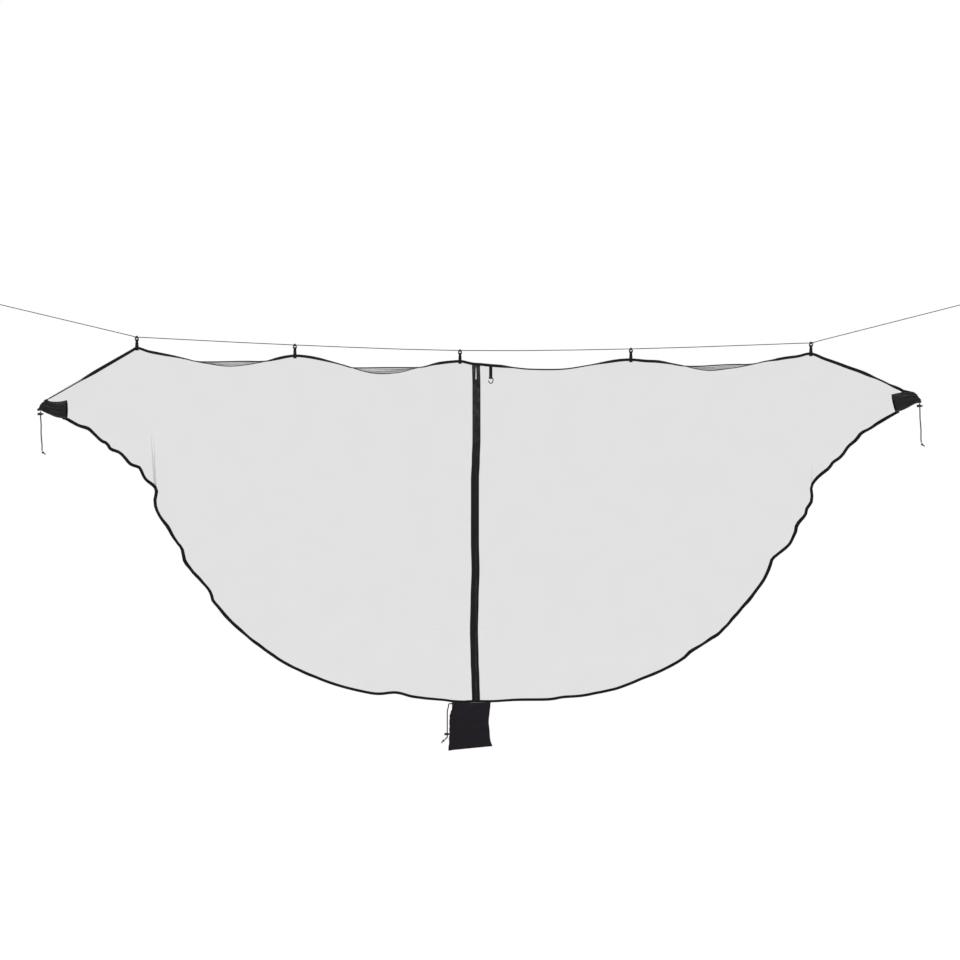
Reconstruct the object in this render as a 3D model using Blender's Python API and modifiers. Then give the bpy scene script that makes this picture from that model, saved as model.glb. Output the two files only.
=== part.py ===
"""Full-length insect net for a hammock, hung by five hooks from a taut ridgeline.

Lengths are in metres. The origin is on the ridgeline, where the middle hook sits. +X runs along the net to
its right end as seen from the zipper side, +Y points away from the zipper side, and +Z is up.
"""

import math

import bmesh
import bpy
from mathutils import Matrix, Vector

# Ridgeline: the cord, its rise at each hook above the middle one, and its tied end loops
RIDGELINE_D = 0.0030
HOOK_SPANS = (0.602, 0.629, 0.651, 0.686)
HOOK_RISES = (0.051, 0.021, 0.0, 0.006, 0.029)
RIDGELINE_LEFT_RUN = 0.555
RIDGELINE_LEFT_RISE = 0.132
RIDGELINE_RIGHT_RUN = 0.610
RIDGELINE_RIGHT_RISE = 0.155
END_LOOP_LENGTH = 0.075
END_LOOP_WIDTH = 0.030
RIDGELINE_KNOT_LENGTH = 0.015
RIDGELINE_KNOT_D = 0.0075
RIDGELINE_TURN = 0.07
END_LOOP_NECK = 0.35

# Net: tapes, cloth and the outline that it hangs in
TAB_DROP = 0.041
LEFT_TAPE_RUN = 0.334
LEFT_TAPE_DROP = 0.192
RIGHT_TAPE_RUN = 0.337
RIGHT_TAPE_DROP = 0.1343
HEM_DROP = 1.3317
TAPE_WIDTH = 0.010
TAPE_THICKNESS = 0.0010
NET_THICKNESS = 0.0008
HEM_TAPE_WIDTH = 0.009
HEM_TAPE_THICKNESS = 0.0026
SEAM_GAP = 0.0008
TAPE_HALF_GAP = 0.0021
END_HALF_GAP = 0.005
HEM_HALF_GAP = 0.0009
FRONT_BULGE = 0.042
BACK_BULGE = 0.048
FOLD_DEPTH = 0.009
FOLD_PITCH = 0.30
FOLD_AT_RIDGE = 0.4
SWELL_AT_RIDGE = 1.1
SWELL_AT_HEM = 0.75
END_TURN = 0.38
STATION_STEP = 0.052
ROWS = (0.0, 0.03, 0.13, 0.27, 0.44, 0.62, 0.79, 0.92, 1.0)

# The front ridge tape's middle line between its end, the hooks and its other end, (x, z), span by span
FRONT_RIDGE = (
    ((-1.398, -0.086), (-1.262, -0.0075), (-1.246, 0.002)),
    ((-1.214, 0.006), (-1.198, 0.000), (-1.181, -0.005), (-1.135, -0.014), (-1.090, -0.022), (-1.044, -0.032),
     (-0.998, -0.044), (-0.953, -0.052), (-0.907, -0.059), (-0.872, -0.061), (-0.831, -0.058), (-0.785, -0.051),
     (-0.743, -0.043), (-0.701, -0.032), (-0.663, -0.024)),
    ((-0.587, -0.023), (-0.541, -0.031), (-0.495, -0.042), (-0.450, -0.054), (-0.411, -0.066),
     (-0.377, -0.077), (-0.339, -0.085), (-0.290, -0.088), (-0.251, -0.087), (-0.213, -0.081),
     (-0.175, -0.070), (-0.137, -0.062), (-0.099, -0.052), (-0.053, -0.045)),
    ((0.023, -0.045), (0.050, -0.051), (0.080, -0.053), (0.118, -0.057), (0.160, -0.060),
     (0.206, -0.065), (0.251, -0.070), (0.305, -0.072), (0.366, -0.072), (0.411, -0.069),
     (0.457, -0.062), (0.503, -0.054), (0.549, -0.046), (0.602, -0.038)),
    ((0.709, -0.040), (0.754, -0.042), (0.800, -0.049), (0.846, -0.058), (0.884, -0.068),
     (0.922, -0.075), (0.960, -0.076), (0.998, -0.072), (1.044, -0.067), (1.082, -0.060),
     (1.120, -0.052), (1.158, -0.042), (1.196, -0.036), (1.242, -0.028), (1.288, -0.022)),
    ((1.387, -0.031), (1.433, -0.047), (1.478, -0.064), (1.524, -0.080), (1.570, -0.099),
     (1.608, -0.115), (1.642, -0.132)),
)
# The same for the back tape where it hangs higher than the front one: the second, third and fifth spans
BACK_LENSES = (
    ((-1.214, 0.006), (-1.198, 0.000), (-1.181, -0.005), (-1.135, -0.014), (-1.090, -0.022), (-1.044, -0.032),
     (-1.002, -0.041), (-0.945, -0.042), (-0.876, -0.041), (-0.815, -0.040), (-0.770, -0.041), (-0.735, -0.039),
     (-0.701, -0.032), (-0.663, -0.024)),
    ((-0.587, -0.023), (-0.541, -0.031), (-0.495, -0.042), (-0.450, -0.054), (-0.415, -0.064),
     (-0.373, -0.065), (-0.290, -0.064), (-0.213, -0.064), (-0.168, -0.064), (-0.133, -0.061),
     (-0.099, -0.052), (-0.053, -0.045)),
    ((0.709, -0.040), (0.754, -0.042), (0.800, -0.049), (0.838, -0.056), (0.876, -0.059),
     (0.930, -0.058), (0.991, -0.054), (1.052, -0.052), (1.097, -0.052), (1.132, -0.048),
     (1.158, -0.042), (1.196, -0.036), (1.242, -0.028), (1.288, -0.022)),
)
BACK_RIDGE = (FRONT_RIDGE[0], BACK_LENSES[0], BACK_LENSES[1], FRONT_RIDGE[3], BACK_LENSES[2], FRONT_RIDGE[5])

# How each span of both tapes turns edge-on: shares of the span where the turn starts, is full, is still
# full and ends, and its angle in degrees
TAPE_TWISTS = (
    (-1.0, -0.5, 0.25, 0.52, 74.0),
    (0.05, 0.33, 0.80, 0.97, 80.0),
    (0.04, 0.28, 0.80, 0.92, 80.0),
    (0.19, 0.32, 0.76, 0.96, 80.0),
    (0.10, 0.24, 0.76, 0.86, 80.0),
    (0.56, 0.78, 0.88, 0.99, 60.0),
)
LENS_SPREAD = 0.015
END_SPREAD = 0.008

# The hem's two halves, from the sleeve's lower corner to the middle, as shares of each half's length and drop
LEFT_HEM = (
    (0.000, 0.000),
    (0.051, 0.033),
    (0.142, 0.137),
    (0.199, 0.210),
    (0.224, 0.300),
    (0.269, 0.439),
    (0.306, 0.540),
    (0.357, 0.640),
    (0.479, 0.809),
    (0.668, 0.943),
    (0.852, 0.988),
    (1.000, 1.000),
)
RIGHT_HEM = (
    (0.000, 0.000),
    (0.081, 0.073),
    (0.148, 0.172),
    (0.192, 0.240),
    (0.227, 0.376),
    (0.268, 0.480),
    (0.315, 0.582),
    (0.369, 0.683),
    (0.505, 0.851),
    (0.716, 0.971),
    (0.882, 0.992),
    (1.000, 1.000),
)

# End sleeves. Each ring from the netting to the mouth: its top and bottom, (x, z), and its half depth
LEFT_SLEEVE = (
    ((-1.4980, -0.1900), (-1.4980, -0.2600), 0.021),
    ((-1.5288, -0.1965), (-1.5371, -0.2533), 0.021),
    ((-1.5602, -0.1970), (-1.5720, -0.2373), 0.018),
    ((-1.5737, -0.1908), (-1.5879, -0.2304), 0.018),
    ((-1.5814, -0.1877), (-1.5986, -0.2303), 0.020),
)
RIGHT_SLEEVE = (
    ((1.6452, -0.1680), (1.6612, -0.2358), 0.021),
    ((1.6802, -0.1604), (1.6855, -0.2267), 0.021),
    ((1.7050, -0.1577), (1.7065, -0.2153), 0.019),
    ((1.7252, -0.1596), (1.7259, -0.2050), 0.018),
    ((1.7374, -0.1650), (1.7511, -0.1996), 0.020),
)
SLEEVE_WALL = 0.0016
SLEEVE_GAP = 0.0014
SLEEVE_SIDES = 20

# Hooks and their webbing tabs
HOOK_WIDTH = 0.0155
HOOK_BAR = 0.003
HOOK_SIDE = 0.0026
HOOK_DROP = 0.012
HOOK_LEAN = 20.0
HOOK_HOLE_HEIGHT = 0.0065
HOOK_HOLE_TOP_RADIUS = 0.0038
CLAW_CLEARANCE = 0.0003
CLAW_THICKNESS = 0.0034
CLAW_WIDTH = 0.006
CLAW_FRONT_ANGLE = 26.0
CLAW_TIP_ANGLE = 32.0
HOOK_FOOT = 0.003
TAB_WIDTH = 0.0095
TAB_THICKNESS = 0.0012
TAB_TAIL = 0.0088
TAB_PLAY = 0.0008
TAB_SPLIT_LENGTH = 0.005
TAB_SPLIT_RISE = 0.002
TAB_NECK = 0.002

# Zipper: tapes, coils and slider
ZIP_X = 0.061
ZIP_WIDTH = 0.030
COIL_D = 0.0026
COIL_GAP = 0.0003
ZIP_TAPE_THICKNESS = 0.0008
ZIP_SLIT = 0.0032
ZIP_INSET = 0.0009
SLIDER_DEPTH_BELOW_TOP = 0.052
SLIDER_LENGTH = 0.012
SLIDER_WALL = 0.0014
SLIDER_CLEARANCE = 0.0004
WEDGE_WIDTH = 0.0020
PULL_WIDTH = 0.006
PULL_LENGTH = 0.026
PULL_THICKNESS = 0.0014
PULL_BAR_D = 0.0014
PULL_PLAY = 0.0003
PULL_EYE_WALL = 0.0009
PULL_BELOW_TOP = 0.0042
PULL_WAIST_DROP = 0.006
PULL_SHOULDER = 0.004
PULL_HOLE_ABOVE_END = 0.0045
LUG_WIDTH = 0.0011
LUG_HALF_HEIGHT = 0.0016
LUG_RIM = 0.0004
WEDGE_LENGTH = 0.003
SLIDER_ROUNDING = 0.0008
CUT_OVER = 0.002
STOP_LENGTH = 0.004
STOP_ROUNDING = 0.0004

# Gear strap and its hook
GEAR_X = 0.117
GEAR_STRAP_WIDTH = 0.012
GEAR_STRAP_LENGTH = 0.047
GEAR_STRAP_THICKNESS = 0.0012
GEAR_STANDOFF = 0.0006
GEAR_SEWN_AT = 0.3
GEAR_WIRE_D = 0.0036
GEAR_HOOK_WIDTH = 0.0202
GEAR_HOOK_HEIGHT = 0.022
GEAR_HOOK_CORNER = 0.002

# Cinch cords, the drawcord and their sprung locks
CORD_D = 0.0040
CINCH_CORD_LENGTH = 0.150
CINCH_LEAN = 2.4
CORD_KNOT_D = 0.0085
LOCK_D = 0.0096
LOCK_LENGTH = 0.016
LOCK_BORE_D = 0.0072
LOCK_CORD_HOLE_D = 0.0047
LOCK_PAST_CORD = 0.005
LOCK_WALL = 0.0015
LOCK_ROUNDING = 0.0008
PLUNGER_ROUNDING = 0.0005
PLUNGER_FOOT = 0.0018
PLUNGER_SLOT_PLAY = 0.0002
PLUNGER_CLEARANCE = 0.0004
PLUNGER_REACH = 0.006
PLUNGER_TRAVEL = 0.003
LOCK_SPRING_WIRE_D = 0.0005
LOCK_SPRING_TURNS = 3
LOCK_BELOW_MOUTH = 0.010
CINCH_PLAY = 0.0007
CINCH_FOOT_FALL = math.radians(36.9)

# Stuff sack sewn to the hem
SACK_WIDTH = 0.146
SACK_HEIGHT = 0.165
SACK_X = 0.044
SACK_HALF_THICKNESS = 0.0075
SACK_EDGE_HALF_THICKNESS = 0.0006
SACK_HINGE_GAP = 0.0009
# Each side edge of the sack: how far it stands off a straight one, and the share of the height down it
SACK_LEFT_EDGE = ((-0.003, 0.0), (-0.002, 0.14), (-0.0095, 0.3), (-0.0105, 0.5), (-0.011, 0.77), (-0.013, 1.09))
SACK_RIGHT_EDGE = ((0.0, 0.0), (-0.0045, 0.25), (-0.0075, 0.44), (-0.0045, 0.63), (-0.0015, 0.85), (0.007, 1.0))
CHANNEL_WIDTH = 0.014
CHANNEL_HALF_THICKNESS = 0.0025
CHANNEL_OVERHANG = 0.001
DRAWCORD_DROP = 0.1256
DRAWCORD_BEND_DROP = 0.028
DRAWCORD_STANDOFF = 0.0155
DRAWCORD_FORWARD = 0.0072
DRAWCORD_TAIL = 0.014
DRAWCORD_BELOW_TOP = 0.004
DRAWCORD_TURN = 0.006
DRAWCORD_TAIL_SAG = 0.0005
CHANNEL_DROP = 0.001
SACK_LOCK_ABOVE_BEND = 0.0125

HAIR = 0.0003
SMOOTH_ANGLE = math.radians(40)


# Sizes that follow from the ones above
def hook_positions():
    """The five hooks' places on the ridgeline, left to right. The one with no rise is the middle one."""
    xs = [-sum(HOOK_SPANS[: HOOK_RISES.index(0.0)])]
    for span in HOOK_SPANS:
        xs.append(xs[-1] + span)
    return [Vector((x, 0.0, rise)) for x, rise in zip(xs, HOOK_RISES)]


HOOKS = hook_positions()
ZIP_HALF = ZIP_WIDTH / 2
ZIP_LEFT_X = ZIP_X - ZIP_HALF
ZIP_RIGHT_X = ZIP_X + ZIP_HALF
LEFT_TAPE_X = HOOKS[0].x - LEFT_TAPE_RUN
RIGHT_TAPE_X = HOOKS[-1].x + RIGHT_TAPE_RUN
TAPE_KNOTS = (
    [(LEFT_TAPE_X, HOOKS[0].z - TAB_DROP - LEFT_TAPE_DROP)]
    + [(hook.x, hook.z - TAB_DROP) for hook in HOOKS]
    + [(RIGHT_TAPE_X, HOOKS[-1].z - TAB_DROP - RIGHT_TAPE_DROP)]
)
HEM_Z = -HEM_DROP


def lerp(a, b, t):
    return a + (b - a) * t


def smoothstep(low, high, value):
    t = min(max((value - low) / (high - low), 0.0), 1.0)
    return t * t * (3 - 2 * t)


def smooth_path(points, steps):
    """Points on a Catmull-Rom curve through points, steps for each stretch."""
    ends = [points[0] * 2 - points[1], *points, points[-1] * 2 - points[-2]]
    path = []
    for i in range(1, len(ends) - 2):
        p0, p1, p2, p3 = ends[i - 1 : i + 3]
        for k in range(steps):
            t = k / steps
            path.append(
                0.5
                * (
                    p1 * 2
                    + (p2 - p0) * t
                    + (p0 * 2 - p1 * 5 + p2 * 4 - p3) * t * t
                    + (p1 * 3 - p0 - p2 * 3 + p3) * t * t * t
                )
            )
    path.append(points[-1].copy())
    return path


# Blender helpers
def clear_scene():
    for obj in list(bpy.data.objects):
        bpy.data.objects.remove(obj, do_unlink=True)


def make_collection(name):
    collection = bpy.data.collections.new(name)
    bpy.context.scene.collection.children.link(collection)
    return collection


def make_material(name, colour, roughness, metallic=0.0):
    material = bpy.data.materials.new(name)
    material.use_nodes = True
    shader = material.node_tree.nodes["Principled BSDF"]
    shader.inputs["Base Color"].default_value = (*colour, 1.0)
    shader.inputs["Roughness"].default_value = roughness
    shader.inputs["Metallic"].default_value = metallic
    return material


clear_scene()
PARTS = make_collection("hammock_insect_net")
NETTING = make_material("netting", (0.05, 0.05, 0.05), 0.9)
WEBBING = make_material("webbing", (0.012, 0.012, 0.013), 0.85)
CLOTH = make_material("sleeve_cloth", (0.014, 0.013, 0.017), 0.7)
CORD = make_material("cord", (0.010, 0.010, 0.011), 0.8)
PLASTIC = make_material("black_plastic", (0.012, 0.012, 0.013), 0.4)
COIL = make_material("zip_coil", (0.016, 0.016, 0.017), 0.5)
METAL = make_material("dark_metal", (0.06, 0.06, 0.065), 0.35, 0.9)
SPRING = make_material("spring_steel", (0.45, 0.45, 0.46), 0.35, 1.0)


def add_object(name, data, material):
    obj = bpy.data.objects.new(name, data)
    obj.data.materials.append(material)
    PARTS.objects.link(obj)
    return obj


def smooth_edges(mesh):
    mesh.shade_smooth()
    mesh.set_sharp_from_angle(angle=SMOOTH_ANGLE)


def evaluated_mesh(obj):
    """A closed copy of an object's shape in world space, which then replaces it."""
    bpy.context.view_layer.update()
    graph = bpy.context.evaluated_depsgraph_get()
    mesh = bpy.data.meshes.new_from_object(obj.evaluated_get(graph))
    mesh.transform(obj.matrix_world)
    bm = bmesh.new()
    bm.from_mesh(mesh)
    bmesh.ops.remove_doubles(bm, verts=bm.verts, dist=1e-6)
    bmesh.ops.recalc_face_normals(bm, faces=bm.faces)
    bm.to_mesh(mesh)
    bm.free()
    bpy.data.objects.remove(obj, do_unlink=True)
    return mesh


def combined(name, material, first, steps):
    """One solid from first and a list of (operation, object) steps, each helper removed when used."""
    mesh = evaluated_mesh(first)
    body = bpy.data.objects.new(name, mesh)
    PARTS.objects.link(body)
    for operation, helper in steps:
        tool_mesh = evaluated_mesh(helper)
        tool = bpy.data.objects.new(name + "_tool", tool_mesh)
        PARTS.objects.link(tool)
        change = body.modifiers.new("change", "BOOLEAN")
        change.operation = operation
        change.object = tool
        result = evaluated_mesh(body)
        bpy.data.objects.remove(tool, do_unlink=True)
        body = bpy.data.objects.new(name, result)
        PARTS.objects.link(body)
    body.data.materials.clear()
    body.data.materials.append(material)
    smooth_edges(body.data)
    return body


def box(low, high, matrix=Matrix.Identity(4)):
    """A box between two corners, given in the axes of matrix."""
    low, high = Vector(low), Vector(high)
    bm = bmesh.new()
    bmesh.ops.create_cube(bm, size=1.0)
    mesh = bpy.data.meshes.new("box")
    bm.to_mesh(mesh)
    bm.free()
    size = high - low
    mesh.transform(Matrix.Translation((low + high) / 2) @ Matrix.Diagonal((*size, 1.0)))
    mesh.transform(matrix)
    obj = bpy.data.objects.new("box", mesh)
    PARTS.objects.link(obj)
    return obj


def rounded(obj, width, segments=2):
    bevel = obj.modifiers.new("rounding", "BEVEL")
    bevel.width = width
    bevel.segments = segments
    bevel.limit_method = "ANGLE"
    return obj


def cylinder(start, end, radius, sides=20):
    """A cylinder between two points."""
    start, end = Vector(start), Vector(end)
    axis = end - start
    bm = bmesh.new()
    bmesh.ops.create_cone(
        bm, cap_ends=True, segments=sides, radius1=radius, radius2=radius, depth=axis.length
    )
    mesh = bpy.data.meshes.new("cylinder")
    bm.to_mesh(mesh)
    bm.free()
    turn = axis.to_track_quat("Z", "Y").to_matrix().to_4x4()
    mesh.transform(Matrix.Translation((start + end) / 2) @ turn)
    obj = bpy.data.objects.new("cylinder", mesh)
    PARTS.objects.link(obj)
    return obj


def tube(name, points, diameter, material, closed=False, resolution=2):
    """A round tube along points, with filled ends and flat facets where it bends."""
    curve = bpy.data.curves.new(name, "CURVE")
    curve.dimensions = "3D"
    curve.bevel_depth = diameter / 2
    curve.bevel_resolution = resolution
    curve.use_fill_caps = not closed
    spline = curve.splines.new("POLY")
    spline.points.add(len(points) - 1)
    for place, point in zip(spline.points, points):
        place.co = (*point, 1.0)
    spline.use_cyclic_u = closed
    spline.use_smooth = True
    obj = add_object(name, curve, material)
    obj.modifiers.new("facets", "TRIANGULATE")
    return obj


def plate(name, loops, thickness, matrix, material):
    """A flat outline with holes, drawn in XY, given a thickness and then put in the axes of matrix."""
    curve = bpy.data.curves.new(name, "CURVE")
    curve.dimensions = "2D"
    curve.fill_mode = "BOTH"
    curve.extrude = thickness / 2
    for loop in loops:
        spline = curve.splines.new("POLY")
        spline.points.add(len(loop) - 1)
        for place, point in zip(spline.points, loop):
            place.co = (point[0], point[1], 0.0, 1.0)
        spline.use_cyclic_u = True
    obj = add_object(name, curve, material)
    obj.matrix_world = matrix
    return obj


def arc(centre, radius, start, end, count):
    """Points on an arc in a plane, with angles in degrees."""
    angles = [math.radians(lerp(start, end, k / (count - 1))) for k in range(count)]
    return [(centre[0] + radius * math.cos(a), centre[1] + radius * math.sin(a)) for a in angles]


def sheet(name, rows, thickness, material, closed=False):
    """Thin cloth: a grid of points with a thickness. A closed one joins each row's ends."""
    mesh = bpy.data.meshes.new(name)
    columns = len(rows[0])
    points = [point for row in rows for point in row]
    faces = []
    for i in range(len(rows) - 1):
        for j in range(columns if closed else columns - 1):
            k = (j + 1) % columns
            faces.append((i * columns + j, i * columns + k, (i + 1) * columns + k, (i + 1) * columns + j))
    mesh.from_pydata(points, [], faces)
    mesh.shade_smooth()
    obj = add_object(name, mesh, material)
    wall = obj.modifiers.new("wall", "SOLIDIFY")
    wall.thickness = thickness
    wall.offset = 0.0
    return obj


def yz_plane(x, y=0.0, z=0.0):
    """Axes for an outline drawn with its first coordinate along Y and its second along Z."""
    return Matrix(((0, 0, 1, x), (1, 0, 0, y), (0, 1, 0, z), (0, 0, 0, 1)))


# Ridge tapes: where they hang
def ridge_line(spans):
    """The smooth line of a ridge tape from its left end over each hook to its right end."""
    points = [TAPE_KNOTS[0]]
    for span, knot in zip(spans, TAPE_KNOTS[1:]):
        points += [*span, knot]
    return smooth_path([Vector((x, 0.0, z)) for x, z in points], 6)


RIDGE_LINES = {-1: ridge_line(FRONT_RIDGE), 1: ridge_line(BACK_RIDGE)}


def ridge_span(x):
    """The span that holds x, and how far along it x is, from 0 to 1."""
    for i, (start, end) in enumerate(zip(TAPE_KNOTS, TAPE_KNOTS[1:])):
        if x <= end[0] or i == len(TAPE_KNOTS) - 2:
            return i, min(max((x - start[0]) / (end[0] - start[0]), 0.0), 1.0)


def tape_turn(x):
    """How far the tapes are turned about their length at x."""
    i, u = ridge_span(x)
    begins, full, still_full, ends, angle = TAPE_TWISTS[i]
    return math.radians(angle) * smoothstep(begins, full, u) * (1 - smoothstep(still_full, ends, u))


def tape_centre(x, side):
    """A ridge tape's middle line at x. side is -1 for the front tape and 1 for the back one."""
    line = RIDGE_LINES[side]
    for a, b in zip(line, line[1:]):
        if x <= b.x or b is line[-1]:
            z = lerp(a.z, b.z, (x - a.x) / (b.x - a.x))
            break
    i, u = ridge_span(x)
    past_left = smoothstep(LEFT_TAPE_X, HOOKS[0].x, x)
    past_right = smoothstep(RIGHT_TAPE_X, HOOKS[-1].x, x)
    gap = lerp(END_HALF_GAP, TAPE_HALF_GAP, min(past_left, past_right))
    spread = LENS_SPREAD if 0 < i < len(TAPE_KNOTS) - 2 else END_SPREAD
    apart = gap + spread * math.sin(math.pi * u) + TAPE_WIDTH / 2 * math.sin(tape_turn(x))
    return Vector((x, side * apart, z))


def tape_down(x, side):
    """The direction across a ridge tape, from its upper edge to its lower one."""
    turn = tape_turn(x)
    step = 0.002
    before = tape_centre(max(x - step, LEFT_TAPE_X), side)
    after = tape_centre(min(x + step, RIGHT_TAPE_X), side)
    along = (after - before).normalized()
    down = Vector((0.0, side * math.sin(turn), -math.cos(turn)))
    return (down - along * down.dot(along)).normalized()


def tape_edge(x, side, share):
    """A point across a ridge tape: share is -1 at its upper edge and 1 at its lower one."""
    return tape_centre(x, side) + tape_down(x, side) * (TAPE_WIDTH / 2 * share)


def net_top(x, side):
    """The upper edge of the front or back netting."""
    return tape_edge(x, side, 1.0) + tape_down(x, side) * SEAM_GAP


def strip_edge(x, side):
    """An edge of the netting strip that joins the two ridge tapes."""
    return tape_edge(x, side, -1.0) - tape_down(x, side) * SEAM_GAP


def stations(start, end):
    """Places along the ridge from start to end, with one at each hook and at the zipper's edges."""
    breaks = sorted({LEFT_TAPE_X, ZIP_LEFT_X, ZIP_RIGHT_X, RIGHT_TAPE_X, *[hook.x for hook in HOOKS]})
    places = []
    for a, b in zip(breaks, breaks[1:]):
        steps = max(1, round((b - a) / STATION_STEP))
        places += [lerp(a, b, k / steps) for k in range(steps)]
    places.append(breaks[-1])
    return [x for x in places if start - 1e-9 <= x <= end + 1e-9]


# End sleeves: their rings, from the net to the mouth
def sleeve_rings(side):
    """(top, bottom, half depth) of each ring of a sleeve. side is -1 on the left and 1 on the right."""
    rings = []
    for (top_x, top_z), (bottom_x, bottom_z), depth in LEFT_SLEEVE if side < 0 else RIGHT_SLEEVE:
        rings.append((Vector((top_x, 0.0, top_z)), Vector((bottom_x, 0.0, bottom_z)), depth))
    return rings


def sleeve_corners(side):
    """The top and bottom of the netting's edge where it meets a sleeve."""
    top, bottom, _ = sleeve_rings(side)[0]
    away = Vector((-side * SLEEVE_GAP, 0.0, 0.0))
    return top + away + Vector((0.0, 0.0, SLEEVE_GAP)), bottom + away


LEFT_CORNER = sleeve_corners(-1)
RIGHT_CORNER = sleeve_corners(1)


# Hem: where the netting's lower edge hangs
def hem_curve(shares, corner, middle_x):
    """A hem half as (key, point) pairs, its key a mean of its share of the length and of the way along X."""
    points = [
        Vector((lerp(corner.x, middle_x, fx), 0.0, lerp(corner.z, HEM_Z, fz))) for fx, fz in shares
    ]
    path = smooth_path(points, 12)
    lengths = [0.0]
    for a, b in zip(path, path[1:]):
        lengths.append(lengths[-1] + (b - a).length)
    keyed = []
    for length, point in zip(lengths, path):
        along = (point.x - path[0].x) / (path[-1].x - path[0].x)
        keyed.append(((length / lengths[-1] + along) / 2, point))
    return keyed


LEFT_HEM_CURVE = hem_curve(LEFT_HEM, LEFT_CORNER[1], ZIP_LEFT_X)
RIGHT_HEM_CURVE = hem_curve(RIGHT_HEM, RIGHT_CORNER[1], ZIP_RIGHT_X)


def along_curve(keyed, key):
    for (k0, p0), (k1, p1) in zip(keyed, keyed[1:]):
        if key <= k1:
            return lerp(p0, p1, min(max((key - k0) / (k1 - k0), 0.0), 1.0))
    return keyed[-1][1].copy()


def hem_point(x):
    """The hem below the ridge station x."""
    if x <= ZIP_LEFT_X:
        return along_curve(LEFT_HEM_CURVE, (x - LEFT_TAPE_X) / (ZIP_LEFT_X - LEFT_TAPE_X))
    if x >= ZIP_RIGHT_X:
        return along_curve(RIGHT_HEM_CURVE, (RIGHT_TAPE_X - x) / (RIGHT_TAPE_X - ZIP_RIGHT_X))
    return Vector((x, 0.0, HEM_Z))


def hem_out(x):
    """The direction out of the netting at the hem, square to it."""
    step = 0.004
    before = hem_point(max(x - step, LEFT_TAPE_X))
    after = hem_point(min(x + step, RIGHT_TAPE_X))
    along = (after - before).normalized()
    return Vector((along.z, 0.0, -along.x))


# Netting
def end_rib(side, face, v):
    """The netting's edge from the ridge tape round a sleeve's corner. face is -1 in front and 1 behind."""
    tape_x = LEFT_TAPE_X if side < 0 else RIGHT_TAPE_X
    corner, bottom = LEFT_CORNER if side < 0 else RIGHT_CORNER
    if v < END_TURN:
        end = Vector((corner.x, face * HEM_HALF_GAP, corner.z))
        return lerp(net_top(tape_x, face), end, v / END_TURN)
    t = (v - END_TURN) / (1 - END_TURN)
    depth = HEM_HALF_GAP + (sleeve_rings(side)[0][2] - HEM_HALF_GAP) * math.sin(math.pi * t)
    share = (1 - math.cos(math.pi * t)) / 2
    place = lerp(corner, bottom, share)
    return Vector((place.x, face * depth, place.z))


def straight_rib(x, face, v):
    top = net_top(x, face)
    bottom = hem_point(x)
    bottom.y = face * HEM_HALF_GAP
    return lerp(top, bottom, v)


def net_point(x, face, v):
    """A point of the netting: x is the rib's place on the ridge and v goes from the ridge to the hem."""
    point = straight_rib(x, face, v)
    for side, end_x in ((-1, LEFT_TAPE_X), (1, RIGHT_TAPE_X)):
        reach = 1 - abs(x - end_x) / LEFT_TAPE_RUN
        if reach > 0:
            point += (end_rib(side, face, v) - straight_rib(end_x, face, v)) * reach**2
    swell = math.sin(math.pi * v) ** lerp(SWELL_AT_RIDGE, SWELL_AT_HEM, v)
    if face < 0:
        if x <= ZIP_LEFT_X:
            across = (x - LEFT_TAPE_X) / (ZIP_LEFT_X - LEFT_TAPE_X)
        else:
            across = (RIGHT_TAPE_X - x) / (RIGHT_TAPE_X - ZIP_RIGHT_X)
        bulge = FRONT_BULGE * max(math.sin(math.pi * across), 0.0) ** 0.8
    else:
        across = (x - LEFT_TAPE_X) / (RIGHT_TAPE_X - LEFT_TAPE_X)
        bulge = BACK_BULGE * max(math.sin(math.pi * across), 0.0) ** 0.7
    edge = max(math.sin(math.pi * across), 0.0) ** 0.5
    fold = FOLD_DEPTH * math.sin(2 * math.pi * x / FOLD_PITCH + face) * lerp(FOLD_AT_RIDGE, 1.0, v) * edge
    point.y += face * (bulge + fold) * swell
    return point


def make_netting():
    for name, face, start, end in (
        ("front_net_left", -1, LEFT_TAPE_X, ZIP_LEFT_X),
        ("front_net_right", -1, ZIP_RIGHT_X, RIGHT_TAPE_X),
        ("back_net", 1, LEFT_TAPE_X, RIGHT_TAPE_X),
    ):
        ribs = [[net_point(x, face, v) for v in ROWS] for x in stations(start, end)]
        sheet(name, ribs, NET_THICKNESS, NETTING)
    places = stations(LEFT_TAPE_X, RIGHT_TAPE_X)
    strip = [[strip_edge(x, -1), strip_edge(x, 1)] for x in places]
    sheet("top_net_strip", strip, NET_THICKNESS, NETTING)


def make_tapes():
    places = stations(LEFT_TAPE_X, RIGHT_TAPE_X)
    for name, side in (("front_ridge_tape", -1), ("back_ridge_tape", 1)):
        rows = [[tape_edge(x, side, -1.0), tape_edge(x, side, 1.0)] for x in places]
        sheet(name, rows, TAPE_THICKNESS, WEBBING)
    hem = []
    for x in places:
        inner = hem_point(x) + hem_out(x) * SEAM_GAP
        hem.append([inner, inner + hem_out(x) * HEM_TAPE_WIDTH])
    sheet("hem_tape", hem, HEM_TAPE_THICKNESS, WEBBING)


def make_sleeve(name, side):
    rows = []
    for top, bottom, depth in sleeve_rings(side):
        centre = (top + bottom) / 2
        up = (top - bottom) / 2
        ring = []
        for k in range(SLEEVE_SIDES):
            a = 2 * math.pi * k / SLEEVE_SIDES
            ring.append(centre + up * math.cos(a) + Vector((0.0, depth * math.sin(a), 0.0)))
        rows.append(ring)
    sheet(name, rows, SLEEVE_WALL, CLOTH, closed=True)


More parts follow.
